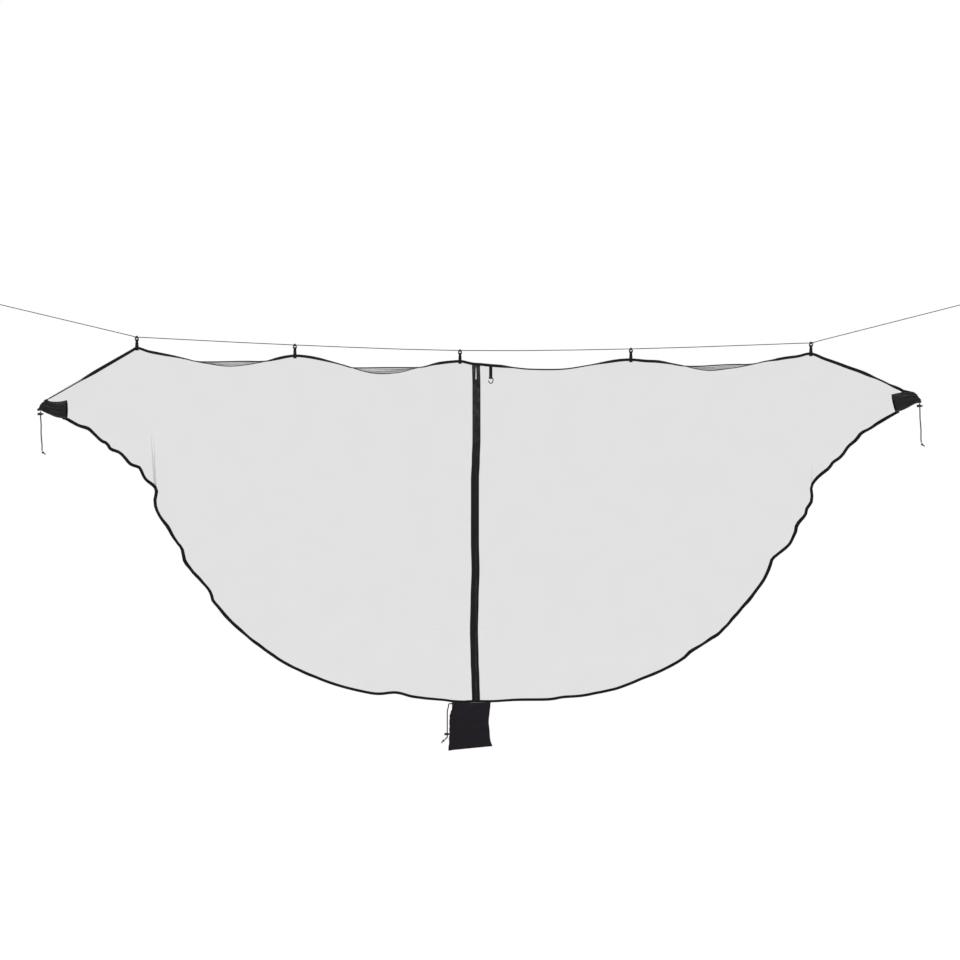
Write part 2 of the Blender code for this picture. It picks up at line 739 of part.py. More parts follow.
# Ridgeline and its end loops
def ridgeline_ends():
    left = HOOKS[0] + Vector((-RIDGELINE_LEFT_RUN, 0.0, RIDGELINE_LEFT_RISE))
    right = HOOKS[-1] + Vector((RIDGELINE_RIGHT_RUN, 0.0, RIDGELINE_RIGHT_RISE))
    return left, right


def ridgeline_path():
    """Nearly straight between hooks, turning gently over each one."""
    left, right = ridgeline_ends()
    points = [left, lerp(left, HOOKS[0], 0.5), lerp(HOOKS[0], left, RIDGELINE_TURN)]
    points += [HOOKS[0], lerp(HOOKS[0], HOOKS[1], RIDGELINE_TURN), *HOOKS[1:-1]]
    points += [lerp(HOOKS[-1], HOOKS[-2], RIDGELINE_TURN), HOOKS[-1]]
    points += [lerp(HOOKS[-1], right, RIDGELINE_TURN), lerp(HOOKS[-1], right, 0.5), right]
    return smooth_path(points, 3)


def make_ridgeline():
    path = ridgeline_path()
    tube("ridgeline", path, RIDGELINE_D, CORD)
    for name, end, inner in (
        ("ridgeline_loop_left", path[0], path[1]),
        ("ridgeline_loop_right", path[-1], path[-2]),
    ):
        out = (end - inner).normalized()
        up = Vector((-out.z, 0.0, out.x)) * (1 if out.x > 0 else -1)
        start = end + out * HAIR
        knot_end = start + out * RIDGELINE_KNOT_LENGTH
        loop = []
        for k in range(24):
            a = 2 * math.pi * k / 24
            along = (1 - math.cos(a)) / 2
            width = END_LOOP_WIDTH / 2 * math.sin(a) * lerp(END_LOOP_NECK, 1.0, along)
            loop.append(knot_end + out * (END_LOOP_LENGTH * along - RIDGELINE_KNOT_LENGTH * 0.4) + up * width)
        ring = tube(name + "_ring", loop, RIDGELINE_D, CORD, closed=True, resolution=1)
        knot = rounded(cylinder(start, knot_end, RIDGELINE_KNOT_D / 2, 12), RIDGELINE_KNOT_D * 0.2)
        combined(name, CORD, knot, [("UNION", ring)])


# Hooks over the ridgeline, and the webbing tabs that they hang the net by
def hook_shape(hook):
    """A flat ring with a bar at its foot, and a claw that is part of a circle about that bar."""
    pivot = hook - Vector((0.0, 0.0, HOOK_DROP))
    half = HOOK_WIDTH / 2
    ring_top = HOOK_DROP + RIDGELINE_D / 2 + CLAW_CLEARANCE + CLAW_THICKNESS * 0.6
    foot = -HOOK_BAR / 2
    outline = [(-half * 0.8, foot), (half * 0.8, foot), (half, foot + HOOK_FOOT), (half, ring_top * 0.45)]
    outline += [(half * 0.75, ring_top * 0.75), (CLAW_WIDTH / 2, ring_top), (-CLAW_WIDTH / 2, ring_top)]
    outline += [(-half * 0.75, ring_top * 0.75), (-half, ring_top * 0.45), (-half, foot + HOOK_FOOT)]
    hole_half = half - HOOK_SIDE
    hole_foot = HOOK_BAR / 2
    hole_top = hole_foot + HOOK_HOLE_HEIGHT
    hole = [(-hole_half, hole_foot), (hole_half, hole_foot), (hole_half, hole_foot + HOOK_FOOT)]
    hole += arc((0.0, hole_top - HOOK_HOLE_TOP_RADIUS), HOOK_HOLE_TOP_RADIUS, 20, 160, 7)
    hole += [(-hole_half, hole_foot + HOOK_FOOT)]
    lean = Matrix.Rotation(math.radians(90 + HOOK_LEAN), 4, "X")
    ring = plate("hook_ring", [outline, hole], HOOK_BAR, Matrix.Translation(pivot) @ lean, PLASTIC)
    inner = HOOK_DROP + RIDGELINE_D / 2 + CLAW_CLEARANCE
    start, end = 90 + CLAW_FRONT_ANGLE, 90 - CLAW_TIP_ANGLE
    claw = arc((0.0, 0.0), inner, start, end, 9)
    claw += arc((0.0, 0.0), inner + CLAW_THICKNESS * 0.75, end, end + 4, 2)
    claw += arc((0.0, 0.0), inner + CLAW_THICKNESS, end + 12, start, 7)
    top = plate("hook_claw", [claw], CLAW_WIDTH, yz_plane(pivot.x, pivot.y, pivot.z), PLASTIC)
    return ring, top


def tab_outline(hook):
    """A webbing tab from the side: an eye round the hook's bar, a shank, and legs that straddle the tapes."""
    eye = HOOK_BAR * 0.71 + 2 * HAIR
    outer = eye + TAB_THICKNESS
    eye_z = -HOOK_DROP
    leg_in = TAPE_HALF_GAP + TAPE_THICKNESS / 2 + 2 * HAIR + TAB_PLAY
    leg_out = leg_in + TAB_THICKNESS
    split_z = -TAB_DROP + TAPE_WIDTH / 2 + SEAM_GAP + NET_THICKNESS + TAB_SPLIT_RISE
    end_z = -TAB_DROP - TAB_TAIL
    right = arc((0.0, eye_z), outer, 90, -55, 8)[1:]
    right += [(TAB_THICKNESS, eye_z - outer - TAB_NECK), (TAB_THICKNESS, split_z + TAB_SPLIT_LENGTH)]
    right += [(leg_out, split_z), (leg_out, end_z), (leg_in, end_z), (leg_in, split_z)]
    left = [(-y, z) for y, z in reversed(right)]
    outline = [(0.0, eye_z + outer), *right, (0.0, split_z + TAB_SPLIT_LENGTH * 0.6), *left]
    hole = arc((0.0, eye_z), eye, 0, 330, 12)
    return [outline, hole]


def make_hooks():
    for number, hook in enumerate(HOOKS, 1):
        ring, claw = hook_shape(hook)
        combined(f"ridge_hook_{number}", PLASTIC, ring, [("UNION", claw)])
        plate(f"hook_tab_{number}", tab_outline(hook), TAB_WIDTH, yz_plane(hook.x, 0.0, hook.z), WEBBING)


# Zipper
def zip_axes():
    """Axes at the zipper's top: X to the right, Y away from the front and Z up along the chain."""
    top = (net_top(ZIP_LEFT_X, -1) + net_top(ZIP_RIGHT_X, -1)) / 2
    bottom = Vector((ZIP_X, -HEM_HALF_GAP, HEM_Z))
    top.x = ZIP_X
    up = (top - bottom).normalized()
    away = Vector((0.0, up.z, -up.y))
    axes = Matrix.Identity(4)
    axes.col[1][:3] = away
    axes.col[2][:3] = up
    axes.translation = top - up * ZIP_INSET
    return axes, (top - bottom).length


ZIP_AXES, ZIP_CHAIN = zip_axes()
ZIP_LENGTH = ZIP_CHAIN - 2 * ZIP_INSET
SLIDER_TOP = -SLIDER_DEPTH_BELOW_TOP
SLIDER_FOOT = SLIDER_TOP - SLIDER_LENGTH
SLIDER_GAP_HALF = COIL_D / 2 + SLIDER_CLEARANCE
SLIDER_HALF_DEPTH = SLIDER_GAP_HALF + SLIDER_WALL
WEDGE_OPEN = WEDGE_WIDTH / 2 + 2 * HAIR
SLIDER_INNER_HALF = COIL_GAP / 2 + COIL_D + WEDGE_OPEN + SLIDER_CLEARANCE
PULL_EYE_RADIUS = PULL_BAR_D / 2 + PULL_PLAY + PULL_EYE_WALL


def zip_opening(z):
    """How far each coil stands out from its closed place at z, in the zipper's axes."""
    if z >= SLIDER_TOP:
        up = z / SLIDER_TOP
        return lerp(0.3 * ZIP_SLIT, WEDGE_OPEN, up) + 0.5 * ZIP_SLIT * math.sin(math.pi * up)
    return WEDGE_OPEN * max(0.0, (z - SLIDER_FOOT) / SLIDER_LENGTH)


def zip_heights():
    """Places down the chain, close together where the coils part."""
    top = -STOP_LENGTH - HAIR
    above = [lerp(top, SLIDER_TOP, k / 6) for k in range(6)]
    through = [SLIDER_TOP, (SLIDER_TOP + SLIDER_FOOT) / 2, SLIDER_FOOT]
    end = -ZIP_LENGTH + STOP_LENGTH + HAIR
    return above + through + [lerp(SLIDER_FOOT, end, k / 6) for k in range(1, 7)]


def zip_top_point(across):
    """A point just under the front ridge tape, across the zipper from its middle."""
    share = (across + ZIP_HALF) / ZIP_WIDTH
    return lerp(net_top(ZIP_LEFT_X, -1), net_top(ZIP_RIGHT_X, -1), share) - Vector((0.0, 0.0, HAIR))


def make_zipper():
    for name, side in (("left", -1), ("right", 1)):
        middle = (COIL_GAP + COIL_D) / 2
        coil = [ZIP_AXES @ Vector((side * (middle + zip_opening(z)), 0.0, z)) for z in zip_heights()]
        tube(f"zipper_coil_{name}", coil, COIL_D, COIL)
        inner, outer = COIL_GAP / 2 + COIL_D + HAIR + zip_opening(0.0), ZIP_HALF - SEAM_GAP
        rows = [[zip_top_point(side * inner), zip_top_point(side * outer)]]
        for z in (*zip_heights(), -ZIP_LENGTH):
            inner = COIL_GAP / 2 + COIL_D + HAIR + zip_opening(z)
            rows.append([ZIP_AXES @ Vector((side * across, 0.0, z)) for across in (inner, outer)])
        sheet(f"zipper_tape_{name}", rows, ZIP_TAPE_THICKNESS, WEBBING)
    for name, z in (("zip_top_stop", 0.0), ("zip_bottom_stop", -ZIP_LENGTH + STOP_LENGTH)):
        half = COIL_GAP / 2 + COIL_D
        stop = box((-half, -COIL_D / 2, z - STOP_LENGTH), (half, COIL_D / 2, z), ZIP_AXES)
        combined(name, METAL, rounded(stop, STOP_ROUNDING), [])


def make_slider():
    outer_half = SLIDER_INNER_HALF + SLIDER_WALL
    deep = SLIDER_HALF_DEPTH
    body = box((-outer_half, -deep, SLIDER_FOOT), (outer_half, deep, SLIDER_TOP), ZIP_AXES)
    channel = box(
        (-SLIDER_INNER_HALF, -SLIDER_GAP_HALF, SLIDER_FOOT - CUT_OVER),
        (SLIDER_INNER_HALF, SLIDER_GAP_HALF, SLIDER_TOP + CUT_OVER),
        ZIP_AXES,
    )
    slot_half = ZIP_TAPE_THICKNESS / 2 + SLIDER_CLEARANCE
    slot = box(
        (-outer_half - CUT_OVER, -slot_half, SLIDER_FOOT - CUT_OVER),
        (outer_half + CUT_OVER, slot_half, SLIDER_TOP + CUT_OVER),
        ZIP_AXES,
    )
    wedge_deep = SLIDER_GAP_HALF + LUG_RIM
    wedge = box(
        (-WEDGE_WIDTH / 2, -wedge_deep, SLIDER_TOP - WEDGE_LENGTH),
        (WEDGE_WIDTH / 2, wedge_deep, SLIDER_TOP - HAIR),
        ZIP_AXES,
    )
    steps = [("DIFFERENCE", channel), ("DIFFERENCE", slot), ("UNION", wedge)]
    for face in (-1, 1):
        for side in (-1, 1):
            inner = side * (PULL_WIDTH / 2 + HAIR)
            outer = side * (PULL_WIDTH / 2 + HAIR + LUG_WIDTH)
            near, far = face * (deep - LUG_RIM), face * (pull_depth() + PULL_BAR_D / 2 + LUG_RIM)
            lug = box(
                (min(inner, outer), min(near, far), pull_height() - LUG_HALF_HEIGHT),
                (max(inner, outer), max(near, far), pull_height() + LUG_HALF_HEIGHT),
                ZIP_AXES,
            )
            steps.append(("UNION", lug))
        bar_end = PULL_WIDTH / 2 + HAIR + LUG_WIDTH / 2
        ends = [ZIP_AXES @ Vector((x, face * pull_depth(), pull_height())) for x in (-bar_end, bar_end)]
        steps.append(("UNION", cylinder(ends[0], ends[1], PULL_BAR_D / 2, 12)))
    combined("zip_slider", METAL, rounded(body, SLIDER_ROUNDING), steps)


def pull_depth():
    """How far the pull tabs' bars are from the chain's middle."""
    return SLIDER_HALF_DEPTH + PULL_EYE_RADIUS + HAIR


def pull_height():
    return SLIDER_TOP - PULL_BELOW_TOP


def make_pulls():
    for name, face in (("zip_pull_front", -1), ("zip_pull_back", 1)):
        y, z = face * pull_depth(), pull_height()
        half = PULL_WIDTH / 2
        shoulder = -PULL_LENGTH + PULL_SHOULDER
        ends = [ZIP_AXES @ Vector((x, y, z)) for x in (-half, half)]
        eye = cylinder(ends[0], ends[1], PULL_EYE_RADIUS, 16)
        handle = [(-half, 0.0), (-half * 0.7, -PULL_WAIST_DROP), (-half, shoulder)]
        handle += arc((0.0, -PULL_LENGTH + half), half, 190, 350, 7)
        handle += [(half, shoulder), (half * 0.7, -PULL_WAIST_DROP), (half, 0.0)]
        grip = arc((0.0, -PULL_LENGTH + PULL_HOLE_ABOVE_END), half * 0.45, 0, 324, 10)
        flat = Matrix(((1, 0, 0, 0), (0, 0, 1, y), (0, 1, 0, z), (0, 0, 0, 1)))
        tab = plate("pull_tab", [handle, grip], PULL_THICKNESS, ZIP_AXES @ flat, METAL)
        bore_ends = [ZIP_AXES @ Vector((x, y, z)) for x in (-half - CUT_OVER, half + CUT_OVER)]
        bore = cylinder(bore_ends[0], bore_ends[1], PULL_BAR_D / 2 + PULL_PLAY, 12)
        combined(name, METAL, eye, [("UNION", tab), ("DIFFERENCE", bore)])


# Gear strap and hook, hung in front of the ridge tape
GEAR_EYE = GEAR_WIRE_D / 2 + 2 * HAIR
GEAR_EYE_OUTER = GEAR_EYE + GEAR_STRAP_THICKNESS


def netting_front(x):
    """How far forward the top of the front netting stands at x, between two of its stations."""
    places = stations(ZIP_RIGHT_X, RIGHT_TAPE_X)
    for a, b in zip(places, places[1:]):
        if a <= x <= b:
            return lerp(net_top(a, -1).y, net_top(b, -1).y, (x - a) / (b - a)) - NET_THICKNESS / 2


def gear_bar():
    """The middle of the hook's bar, in the strap's eye, far enough out for the strap to clear the netting."""
    top = tape_edge(GEAR_X, -1, GEAR_SEWN_AT)
    half = GEAR_STRAP_WIDTH / 2
    front = min(netting_front(GEAR_X - half), netting_front(GEAR_X + half)) - GEAR_STANDOFF
    return Vector((GEAR_X, front - GEAR_EYE_OUTER, top.z - GEAR_STRAP_LENGTH))


def make_gear():
    bar = gear_bar()
    outer = GEAR_EYE_OUTER
    front = outer - 2 * GEAR_STRAP_THICKNESS
    meeting = math.degrees(math.acos(front / outer))
    outline = arc((0.0, 0.0), outer, meeting, 360, 15)
    outline += [(outer, GEAR_STRAP_LENGTH), (front, GEAR_STRAP_LENGTH)]
    hole = arc((0.0, 0.0), GEAR_EYE, 0, 330, 12)
    plate("gear_strap", [outline, hole], GEAR_STRAP_WIDTH, yz_plane(bar.x, bar.y, bar.z), WEBBING)
    half_bar = GEAR_HOOK_WIDTH / 2 - GEAR_WIRE_D / 2
    low = -GEAR_HOOK_HEIGHT + GEAR_WIRE_D / 2
    route = [
        Vector((-half_bar, 0.0, 0.0)),
        Vector((0.0, 0.0, 0.0)),
        Vector((half_bar - GEAR_HOOK_CORNER, 0.0, 0.0)),
        Vector((half_bar, 0.0, -GEAR_HOOK_CORNER * 1.25)),
        Vector((half_bar, 0.0, low * 0.6)),
        Vector((half_bar * 0.45, 0.0, low * 0.96)),
        Vector((-half_bar * 0.35, 0.0, low * 0.97)),
        Vector((-half_bar * 0.85, 0.0, low * 0.72)),
        Vector((-half_bar * 0.95, 0.0, low * 0.48)),
    ]
    tube("gear_hook", [bar + p for p in smooth_path(route, 3)], GEAR_WIRE_D, METAL)


# Cinch cords and cord locks
def make_lock(prefix, suffix, centre, along):
    """A sprung cord lock with its barrel along X, threaded on a cord that runs in the direction along."""
    right = LOCK_PAST_CORD
    left = right - LOCK_LENGTH
    bottom = left + LOCK_WALL
    place = Matrix.Translation(centre)

    def at(x, y=0.0, z=0.0):
        return place @ Vector((x, y, z))

    def cord_hole():
        reach = along * LOCK_D
        return cylinder(centre - reach, centre + reach, LOCK_CORD_HOLE_D / 2, 12)

    shell = rounded(cylinder(at(left), at(right), LOCK_D / 2, 18), LOCK_ROUNDING)
    bore = cylinder(at(bottom), at(right + CUT_OVER), LOCK_BORE_D / 2, 16)
    cuts = [("DIFFERENCE", bore), ("DIFFERENCE", cord_hole())]
    combined(f"{prefix}_barrel{suffix}", PLASTIC, shell, cuts)
    radius = LOCK_BORE_D / 2 - PLUNGER_CLEARANCE
    slot_left = -CORD_D / 2 - HAIR - PLUNGER_SLOT_PLAY
    slot_right = CORD_D / 2 + PLUNGER_TRAVEL + HAIR + PLUNGER_SLOT_PLAY
    inner = slot_left - PLUNGER_FOOT
    stem = rounded(cylinder(at(inner), at(right + PLUNGER_REACH), radius, 16), PLUNGER_ROUNDING, 1)
    slot = box(
        (slot_left, -LOCK_CORD_HOLE_D / 2, -LOCK_D), (slot_right, LOCK_CORD_HOLE_D / 2, LOCK_D), place
    )
    combined(f"{prefix}_plunger{suffix}", PLASTIC, stem, [("DIFFERENCE", slot)])
    coil = []
    coil_radius = radius - LOCK_SPRING_WIRE_D / 2 - PLUNGER_SLOT_PLAY
    start = bottom + HAIR + LOCK_SPRING_WIRE_D / 2
    end = inner - HAIR - LOCK_SPRING_WIRE_D / 2
    steps = LOCK_SPRING_TURNS * 8
    for k in range(steps + 1):
        a = 2 * math.pi * k / 8
        coil.append(at(lerp(start, end, k / steps), coil_radius * math.cos(a), coil_radius * math.sin(a)))
    tube(f"{prefix}_spring{suffix}", coil, LOCK_SPRING_WIRE_D, SPRING, resolution=1)


def make_knot(name, centre, direction):
    """A stopper knot: a short barrel with its cut tail."""
    reach = direction * CORD_KNOT_D * 0.6
    body = rounded(cylinder(centre - reach, centre + reach, CORD_KNOT_D / 2, 12), CORD_KNOT_D * 0.2)
    tail = cylinder(centre, centre + direction * CORD_KNOT_D * 1.5, CORD_D / 2, 10)
    combined(name, CORD, body, [("UNION", tail)])


def make_cinch(name, side):
    _, mouth_foot, _ = sleeve_rings(side)[-1]
    start = mouth_foot + Vector((0.0, 0.0, -SLEEVE_WALL / 2 - HAIR - CINCH_PLAY))
    lean = math.radians(CINCH_LEAN)
    along = Vector((math.sin(lean), 0.0, -math.cos(lean)))
    end = start + along * CINCH_CORD_LENGTH
    tube(f"cinch_cord_{name}", [lerp(start, end, k / 10) for k in range(11)], CORD_D, CORD)
    foot = Vector((math.cos(CINCH_FOOT_FALL), 0.0, -math.sin(CINCH_FOOT_FALL)))
    knot_centre = end + along * (CORD_KNOT_D * 0.5 + HAIR) + foot * CORD_KNOT_D * 0.35
    make_knot(f"cinch_knot_{name}", knot_centre, foot)
    make_lock("lock", f"_{name}", start + along * LOCK_BELOW_MOUTH, along)


# Stuff sack
def sack_top():
    return HEM_Z - SEAM_GAP - HEM_TAPE_WIDTH - SACK_HINGE_GAP


def pillow(name, left, right, half_thickness, edge_half, columns, material):
    """A closed flat bag between two edges that run from its top to its bottom."""
    rows = len(left)
    bm = bmesh.new()
    faces = {}
    for face in (-1, 1):
        for i in range(rows):
            for j in range(columns):
                u, v = j / (columns - 1), i / (rows - 1)
                puff = (max(math.sin(math.pi * u), 0.0) * max(math.sin(math.pi * v), 0.0)) ** 0.5
                place = lerp(left[i], right[i], u)
                place.y += face * lerp(edge_half, half_thickness, puff)
                faces[face, i, j] = bm.verts.new(place)
        for i in range(rows - 1):
            for j in range(columns - 1):
                corners = ((i, j), (i, j + 1), (i + 1, j + 1), (i + 1, j))
                bm.faces.new([faces[face, row, column] for row, column in corners])
    rim = [(0, j) for j in range(columns)] + [(i, columns - 1) for i in range(1, rows)]
    rim += [(rows - 1, j) for j in range(columns - 2, -1, -1)] + [(i, 0) for i in range(rows - 2, 0, -1)]
    for (i0, j0), (i1, j1) in zip(rim, rim[1:] + rim[:1]):
        bm.faces.new([faces[-1, i0, j0], faces[-1, i1, j1], faces[1, i1, j1], faces[1, i0, j0]])
    bmesh.ops.recalc_face_normals(bm, faces=bm.faces)
    mesh = bpy.data.meshes.new(name)
    bm.to_mesh(mesh)
    bm.free()
    smooth_edges(mesh)
    return add_object(name, mesh, material)


def make_sack():
    top = sack_top()
    left_x, right_x = SACK_X - SACK_WIDTH / 2 + CHANNEL_WIDTH, SACK_X + SACK_WIDTH / 2
    left = [Vector((left_x + x, 0.0, top - SACK_HEIGHT * v)) for x, v in SACK_LEFT_EDGE]
    right = [Vector((right_x + x, 0.0, top - SACK_HEIGHT * v)) for x, v in SACK_RIGHT_EDGE]
    left, right = smooth_path(left, 2), smooth_path(right, 2)
    pillow("stuff_sack", left, right, SACK_HALF_THICKNESS, SACK_EDGE_HALF_THICKNESS, 9, CLOTH)
    seam = [*left, left[-1] + Vector((0.0, 0.0, -CHANNEL_OVERHANG))]
    inner = [p + Vector((-2 * HAIR, 0.0, -CHANNEL_DROP)) for p in seam]
    outer = [p - Vector((CHANNEL_WIDTH, 0.0, 0.0)) for p in inner]
    pillow("sack_cord_channel", outer, inner, CHANNEL_HALF_THICKNESS, SACK_EDGE_HALF_THICKNESS, 4, CLOTH)
    start = outer[0] + Vector((-HAIR, 0.0, -DRAWCORD_BELOW_TOP))
    lead = start + Vector((-2 * CORD_D, 0.0, 0.0))
    bend = start + Vector((-DRAWCORD_STANDOFF, -DRAWCORD_FORWARD, -DRAWCORD_BEND_DROP))
    foot = start + Vector((-DRAWCORD_STANDOFF, -DRAWCORD_FORWARD, -DRAWCORD_DROP))
    direction = Vector((-1.0, 0.0, -1.0)).normalized()
    tail = foot + direction * DRAWCORD_TAIL
    short = Vector((0.0, 0.0, DRAWCORD_TURN))
    route = [start, lead, lerp(lead, bend, 0.3), lerp(lead, bend, 0.65), bend, bend - short]
    route += [foot + short, foot]
    route += [lerp(foot, tail, 0.45) + Vector((0.0, 0.0, -DRAWCORD_TAIL_SAG)), tail]
    tube("sack_drawcord", smooth_path(route, 3), CORD_D, CORD)
    make_knot("sack_cord_knot", tail + direction * (CORD_KNOT_D * 0.6 + HAIR), direction)
    make_lock("sack_lock", "", foot + Vector((0.0, 0.0, SACK_LOCK_ABOVE_BEND)), Vector((0.0, 0.0, -1.0)))


def main():
    make_ridgeline()
    make_hooks()
    make_tapes()
    make_netting()
    make_sleeve("end_sleeve_left", -1)
    make_sleeve("end_sleeve_right", 1)
    make_zipper()
    make_slider()
    make_pulls()
    make_gear()
    make_cinch("left", -1)
    make_cinch("right", 1)
    make_sack()


main()
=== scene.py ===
"""Looks of the full-length hammock insect net: see-through netting, tapes, cords, zipper and stuff sack.

Lengths are in metres, in the model's own frame: the origin is on the ridgeline at the middle hook, +X runs
to the net's right end, +Y points away from the zipper side and +Z is up.
"""

import functools
import math

import bmesh
import bpy
from mathutils import Matrix, Vector, noise


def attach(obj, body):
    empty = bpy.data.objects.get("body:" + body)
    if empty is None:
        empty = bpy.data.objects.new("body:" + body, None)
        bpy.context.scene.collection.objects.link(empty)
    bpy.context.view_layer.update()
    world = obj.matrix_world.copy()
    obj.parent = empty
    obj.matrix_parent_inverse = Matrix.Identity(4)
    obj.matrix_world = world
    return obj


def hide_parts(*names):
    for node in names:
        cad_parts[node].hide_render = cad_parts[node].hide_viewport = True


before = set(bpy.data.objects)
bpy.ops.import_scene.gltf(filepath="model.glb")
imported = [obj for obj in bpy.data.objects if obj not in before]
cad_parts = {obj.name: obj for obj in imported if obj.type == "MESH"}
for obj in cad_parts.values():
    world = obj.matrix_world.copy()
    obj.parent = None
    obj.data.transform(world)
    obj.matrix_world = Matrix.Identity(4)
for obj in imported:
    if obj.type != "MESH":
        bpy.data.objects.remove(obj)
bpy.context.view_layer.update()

# Ridgeline
RIDGELINE_D = 0.0030
HOOK_SPANS = (0.602, 0.629, 0.651, 0.686)
HOOK_RISES = (0.051, 0.021, 0.0, 0.006, 0.029)
RIDGELINE_LEFT_RUN = 0.555
RIDGELINE_LEFT_RISE = 0.132
RIDGELINE_RIGHT_RUN = 0.610
RIDGELINE_RIGHT_RISE = 0.155
RIDGELINE_TURN = 0.07
END_LOOP_LENGTH = 0.075
END_LOOP_WIDTH = 0.030
END_LOOP_NECK = 0.35
RIDGELINE_KNOT_LENGTH = 0.015

# Net: tapes, netting and the outline that it hangs in
TAB_DROP = 0.041
LEFT_TAPE_RUN = 0.334
LEFT_TAPE_DROP = 0.192
RIGHT_TAPE_RUN = 0.337
RIGHT_TAPE_DROP = 0.1343
HEM_Z = -1.3362
TAPE_WIDTH = 0.010
TAPE_THICKNESS = 0.0010
HEM_TAPE_WIDTH = 0.009
TAPE_HALF_GAP = 0.0021
END_HALF_GAP = 0.005
HEM_HALF_GAP = 0.0009
FRONT_BULGE = 0.042
BACK_BULGE = 0.048
FOLD_DEPTH = 0.009
FOLD_PITCH = 0.30
FOLD_AT_RIDGE = 0.4
SWELL_AT_RIDGE = 1.1
SWELL_AT_HEM = 0.75
END_TURN = 0.38
# The front ridge tape's middle line between its end, the hooks and its other end, (x, z), span by span
FRONT_RIDGE = (
    ((-1.398, -0.086), (-1.262, -0.0075), (-1.246, 0.002)),
    ((-1.214, 0.006), (-1.198, 0.000), (-1.181, -0.005), (-1.135, -0.014), (-1.090, -0.022),
     (-1.044, -0.032), (-0.998, -0.044), (-0.953, -0.052), (-0.907, -0.059), (-0.872, -0.061),
     (-0.831, -0.058), (-0.785, -0.051), (-0.743, -0.043), (-0.701, -0.032), (-0.663, -0.024)),
    ((-0.587, -0.023), (-0.541, -0.031), (-0.495, -0.042), (-0.450, -0.054), (-0.411, -0.066),
     (-0.377, -0.077), (-0.339, -0.085), (-0.290, -0.088), (-0.251, -0.087), (-0.213, -0.081),
     (-0.175, -0.070), (-0.137, -0.062), (-0.099, -0.052), (-0.053, -0.045)),
    ((0.023, -0.045), (0.050, -0.051), (0.080, -0.053), (0.118, -0.057), (0.160, -0.060),
     (0.206, -0.065), (0.251, -0.070), (0.305, -0.072), (0.366, -0.072), (0.411, -0.069),
     (0.457, -0.062), (0.503, -0.054), (0.549, -0.046), (0.602, -0.038)),
    ((0.709, -0.040), (0.754, -0.042), (0.800, -0.049), (0.846, -0.058), (0.884, -0.068),
     (0.922, -0.075), (0.960, -0.076), (0.998, -0.072), (1.044, -0.067), (1.082, -0.060),
     (1.120, -0.052), (1.158, -0.042), (1.196, -0.036), (1.242, -0.028), (1.288, -0.022)),
    ((1.387, -0.031), (1.433, -0.047), (1.478, -0.064), (1.524, -0.080), (1.570, -0.099),
     (1.608, -0.115), (1.642, -0.132)),
)
# The same for the back tape where it hangs higher than the front one: the second, third and fifth spans
BACK_LENSES = (
    (*FRONT_RIDGE[1][:6], (-1.002, -0.041), (-0.945, -0.042), (-0.876, -0.041), (-0.815, -0.040),
     (-0.770, -0.041), (-0.735, -0.039), *FRONT_RIDGE[1][-2:]),
    (*FRONT_RIDGE[2][:4], (-0.415, -0.064), (-0.373, -0.065), (-0.290, -0.064), (-0.213, -0.064),
     (-0.168, -0.064), (-0.133, -0.061), *FRONT_RIDGE[2][-2:]),
    (*FRONT_RIDGE[4][:3], (0.838, -0.056), (0.876, -0.059), (0.930, -0.058), (0.991, -0.054),
     (1.052, -0.052), (1.097, -0.052), (1.132, -0.048), *FRONT_RIDGE[4][-4:]),
)
BACK_RIDGE = (FRONT_RIDGE[0], BACK_LENSES[0], BACK_LENSES[1], FRONT_RIDGE[3], BACK_LENSES[2], FRONT_RIDGE[5])

# How each span of both tapes turns edge-on: shares of the span where the turn starts, is full, is still
# full and ends, and its angle in degrees
TAPE_TWISTS = (
    (-1.0, -0.5, 0.30, 0.62, 84.0),
    (0.05, 0.33, 0.80, 0.97, 73.0),
    (0.04, 0.28, 0.80, 0.92, 73.0),
    (0.19, 0.32, 0.76, 0.96, 77.0),
    (0.10, 0.24, 0.76, 0.86, 73.0),
    (0.56, 0.76, 0.88, 0.99, 72.0),
)
LENS_SPREAD = 0.015
END_SPREAD = 0.008

# The tapes' ends beyond the netting, sewn down along the sleeves' tops, (x, z)
LEFT_TAPE_TAIL = ((-1.5800, -0.1890), (-1.5735, -0.1865))
RIGHT_TAPE_TAIL = ((1.6859, -0.1535), (1.7012, -0.1575), (1.7180, -0.1610))

# The hem's middle line as it hangs, (x, z), from each sleeve's lower corner to the zipper
LEFT_HEM = (
    (-1.514, -0.2562), (-1.496, -0.262), (-1.455, -0.285), (-1.417, -0.297), (-1.398, -0.314),
    (-1.368, -0.343), (-1.345, -0.354), (-1.331, -0.375), (-1.299, -0.388), (-1.276, -0.410),
    (-1.253, -0.434), (-1.222, -0.446), (-1.210, -0.468), (-1.197, -0.492), (-1.168, -0.514),
    (-1.156, -0.530), (-1.159, -0.552), (-1.163, -0.575), (-1.157, -0.604), (-1.139, -0.638),
    (-1.113, -0.672), (-1.095, -0.707), (-1.075, -0.735), (-1.059, -0.755), (-1.050, -0.798),
    (-1.024, -0.836), (-0.991, -0.872), (-0.966, -0.900), (-0.948, -0.927), (-0.942, -0.951),
    (-0.918, -0.981), (-0.892, -1.012), (-0.850, -1.053), (-0.792, -1.103), (-0.686, -1.179),
    (-0.612, -1.218), (-0.541, -1.248), (-0.457, -1.278), (-0.351, -1.303), (-0.305, -1.308),
    (-0.244, -1.303), (-0.183, -1.318), (-0.122, -1.326), (-0.061, -1.331), (0.046, -1.3362),
)
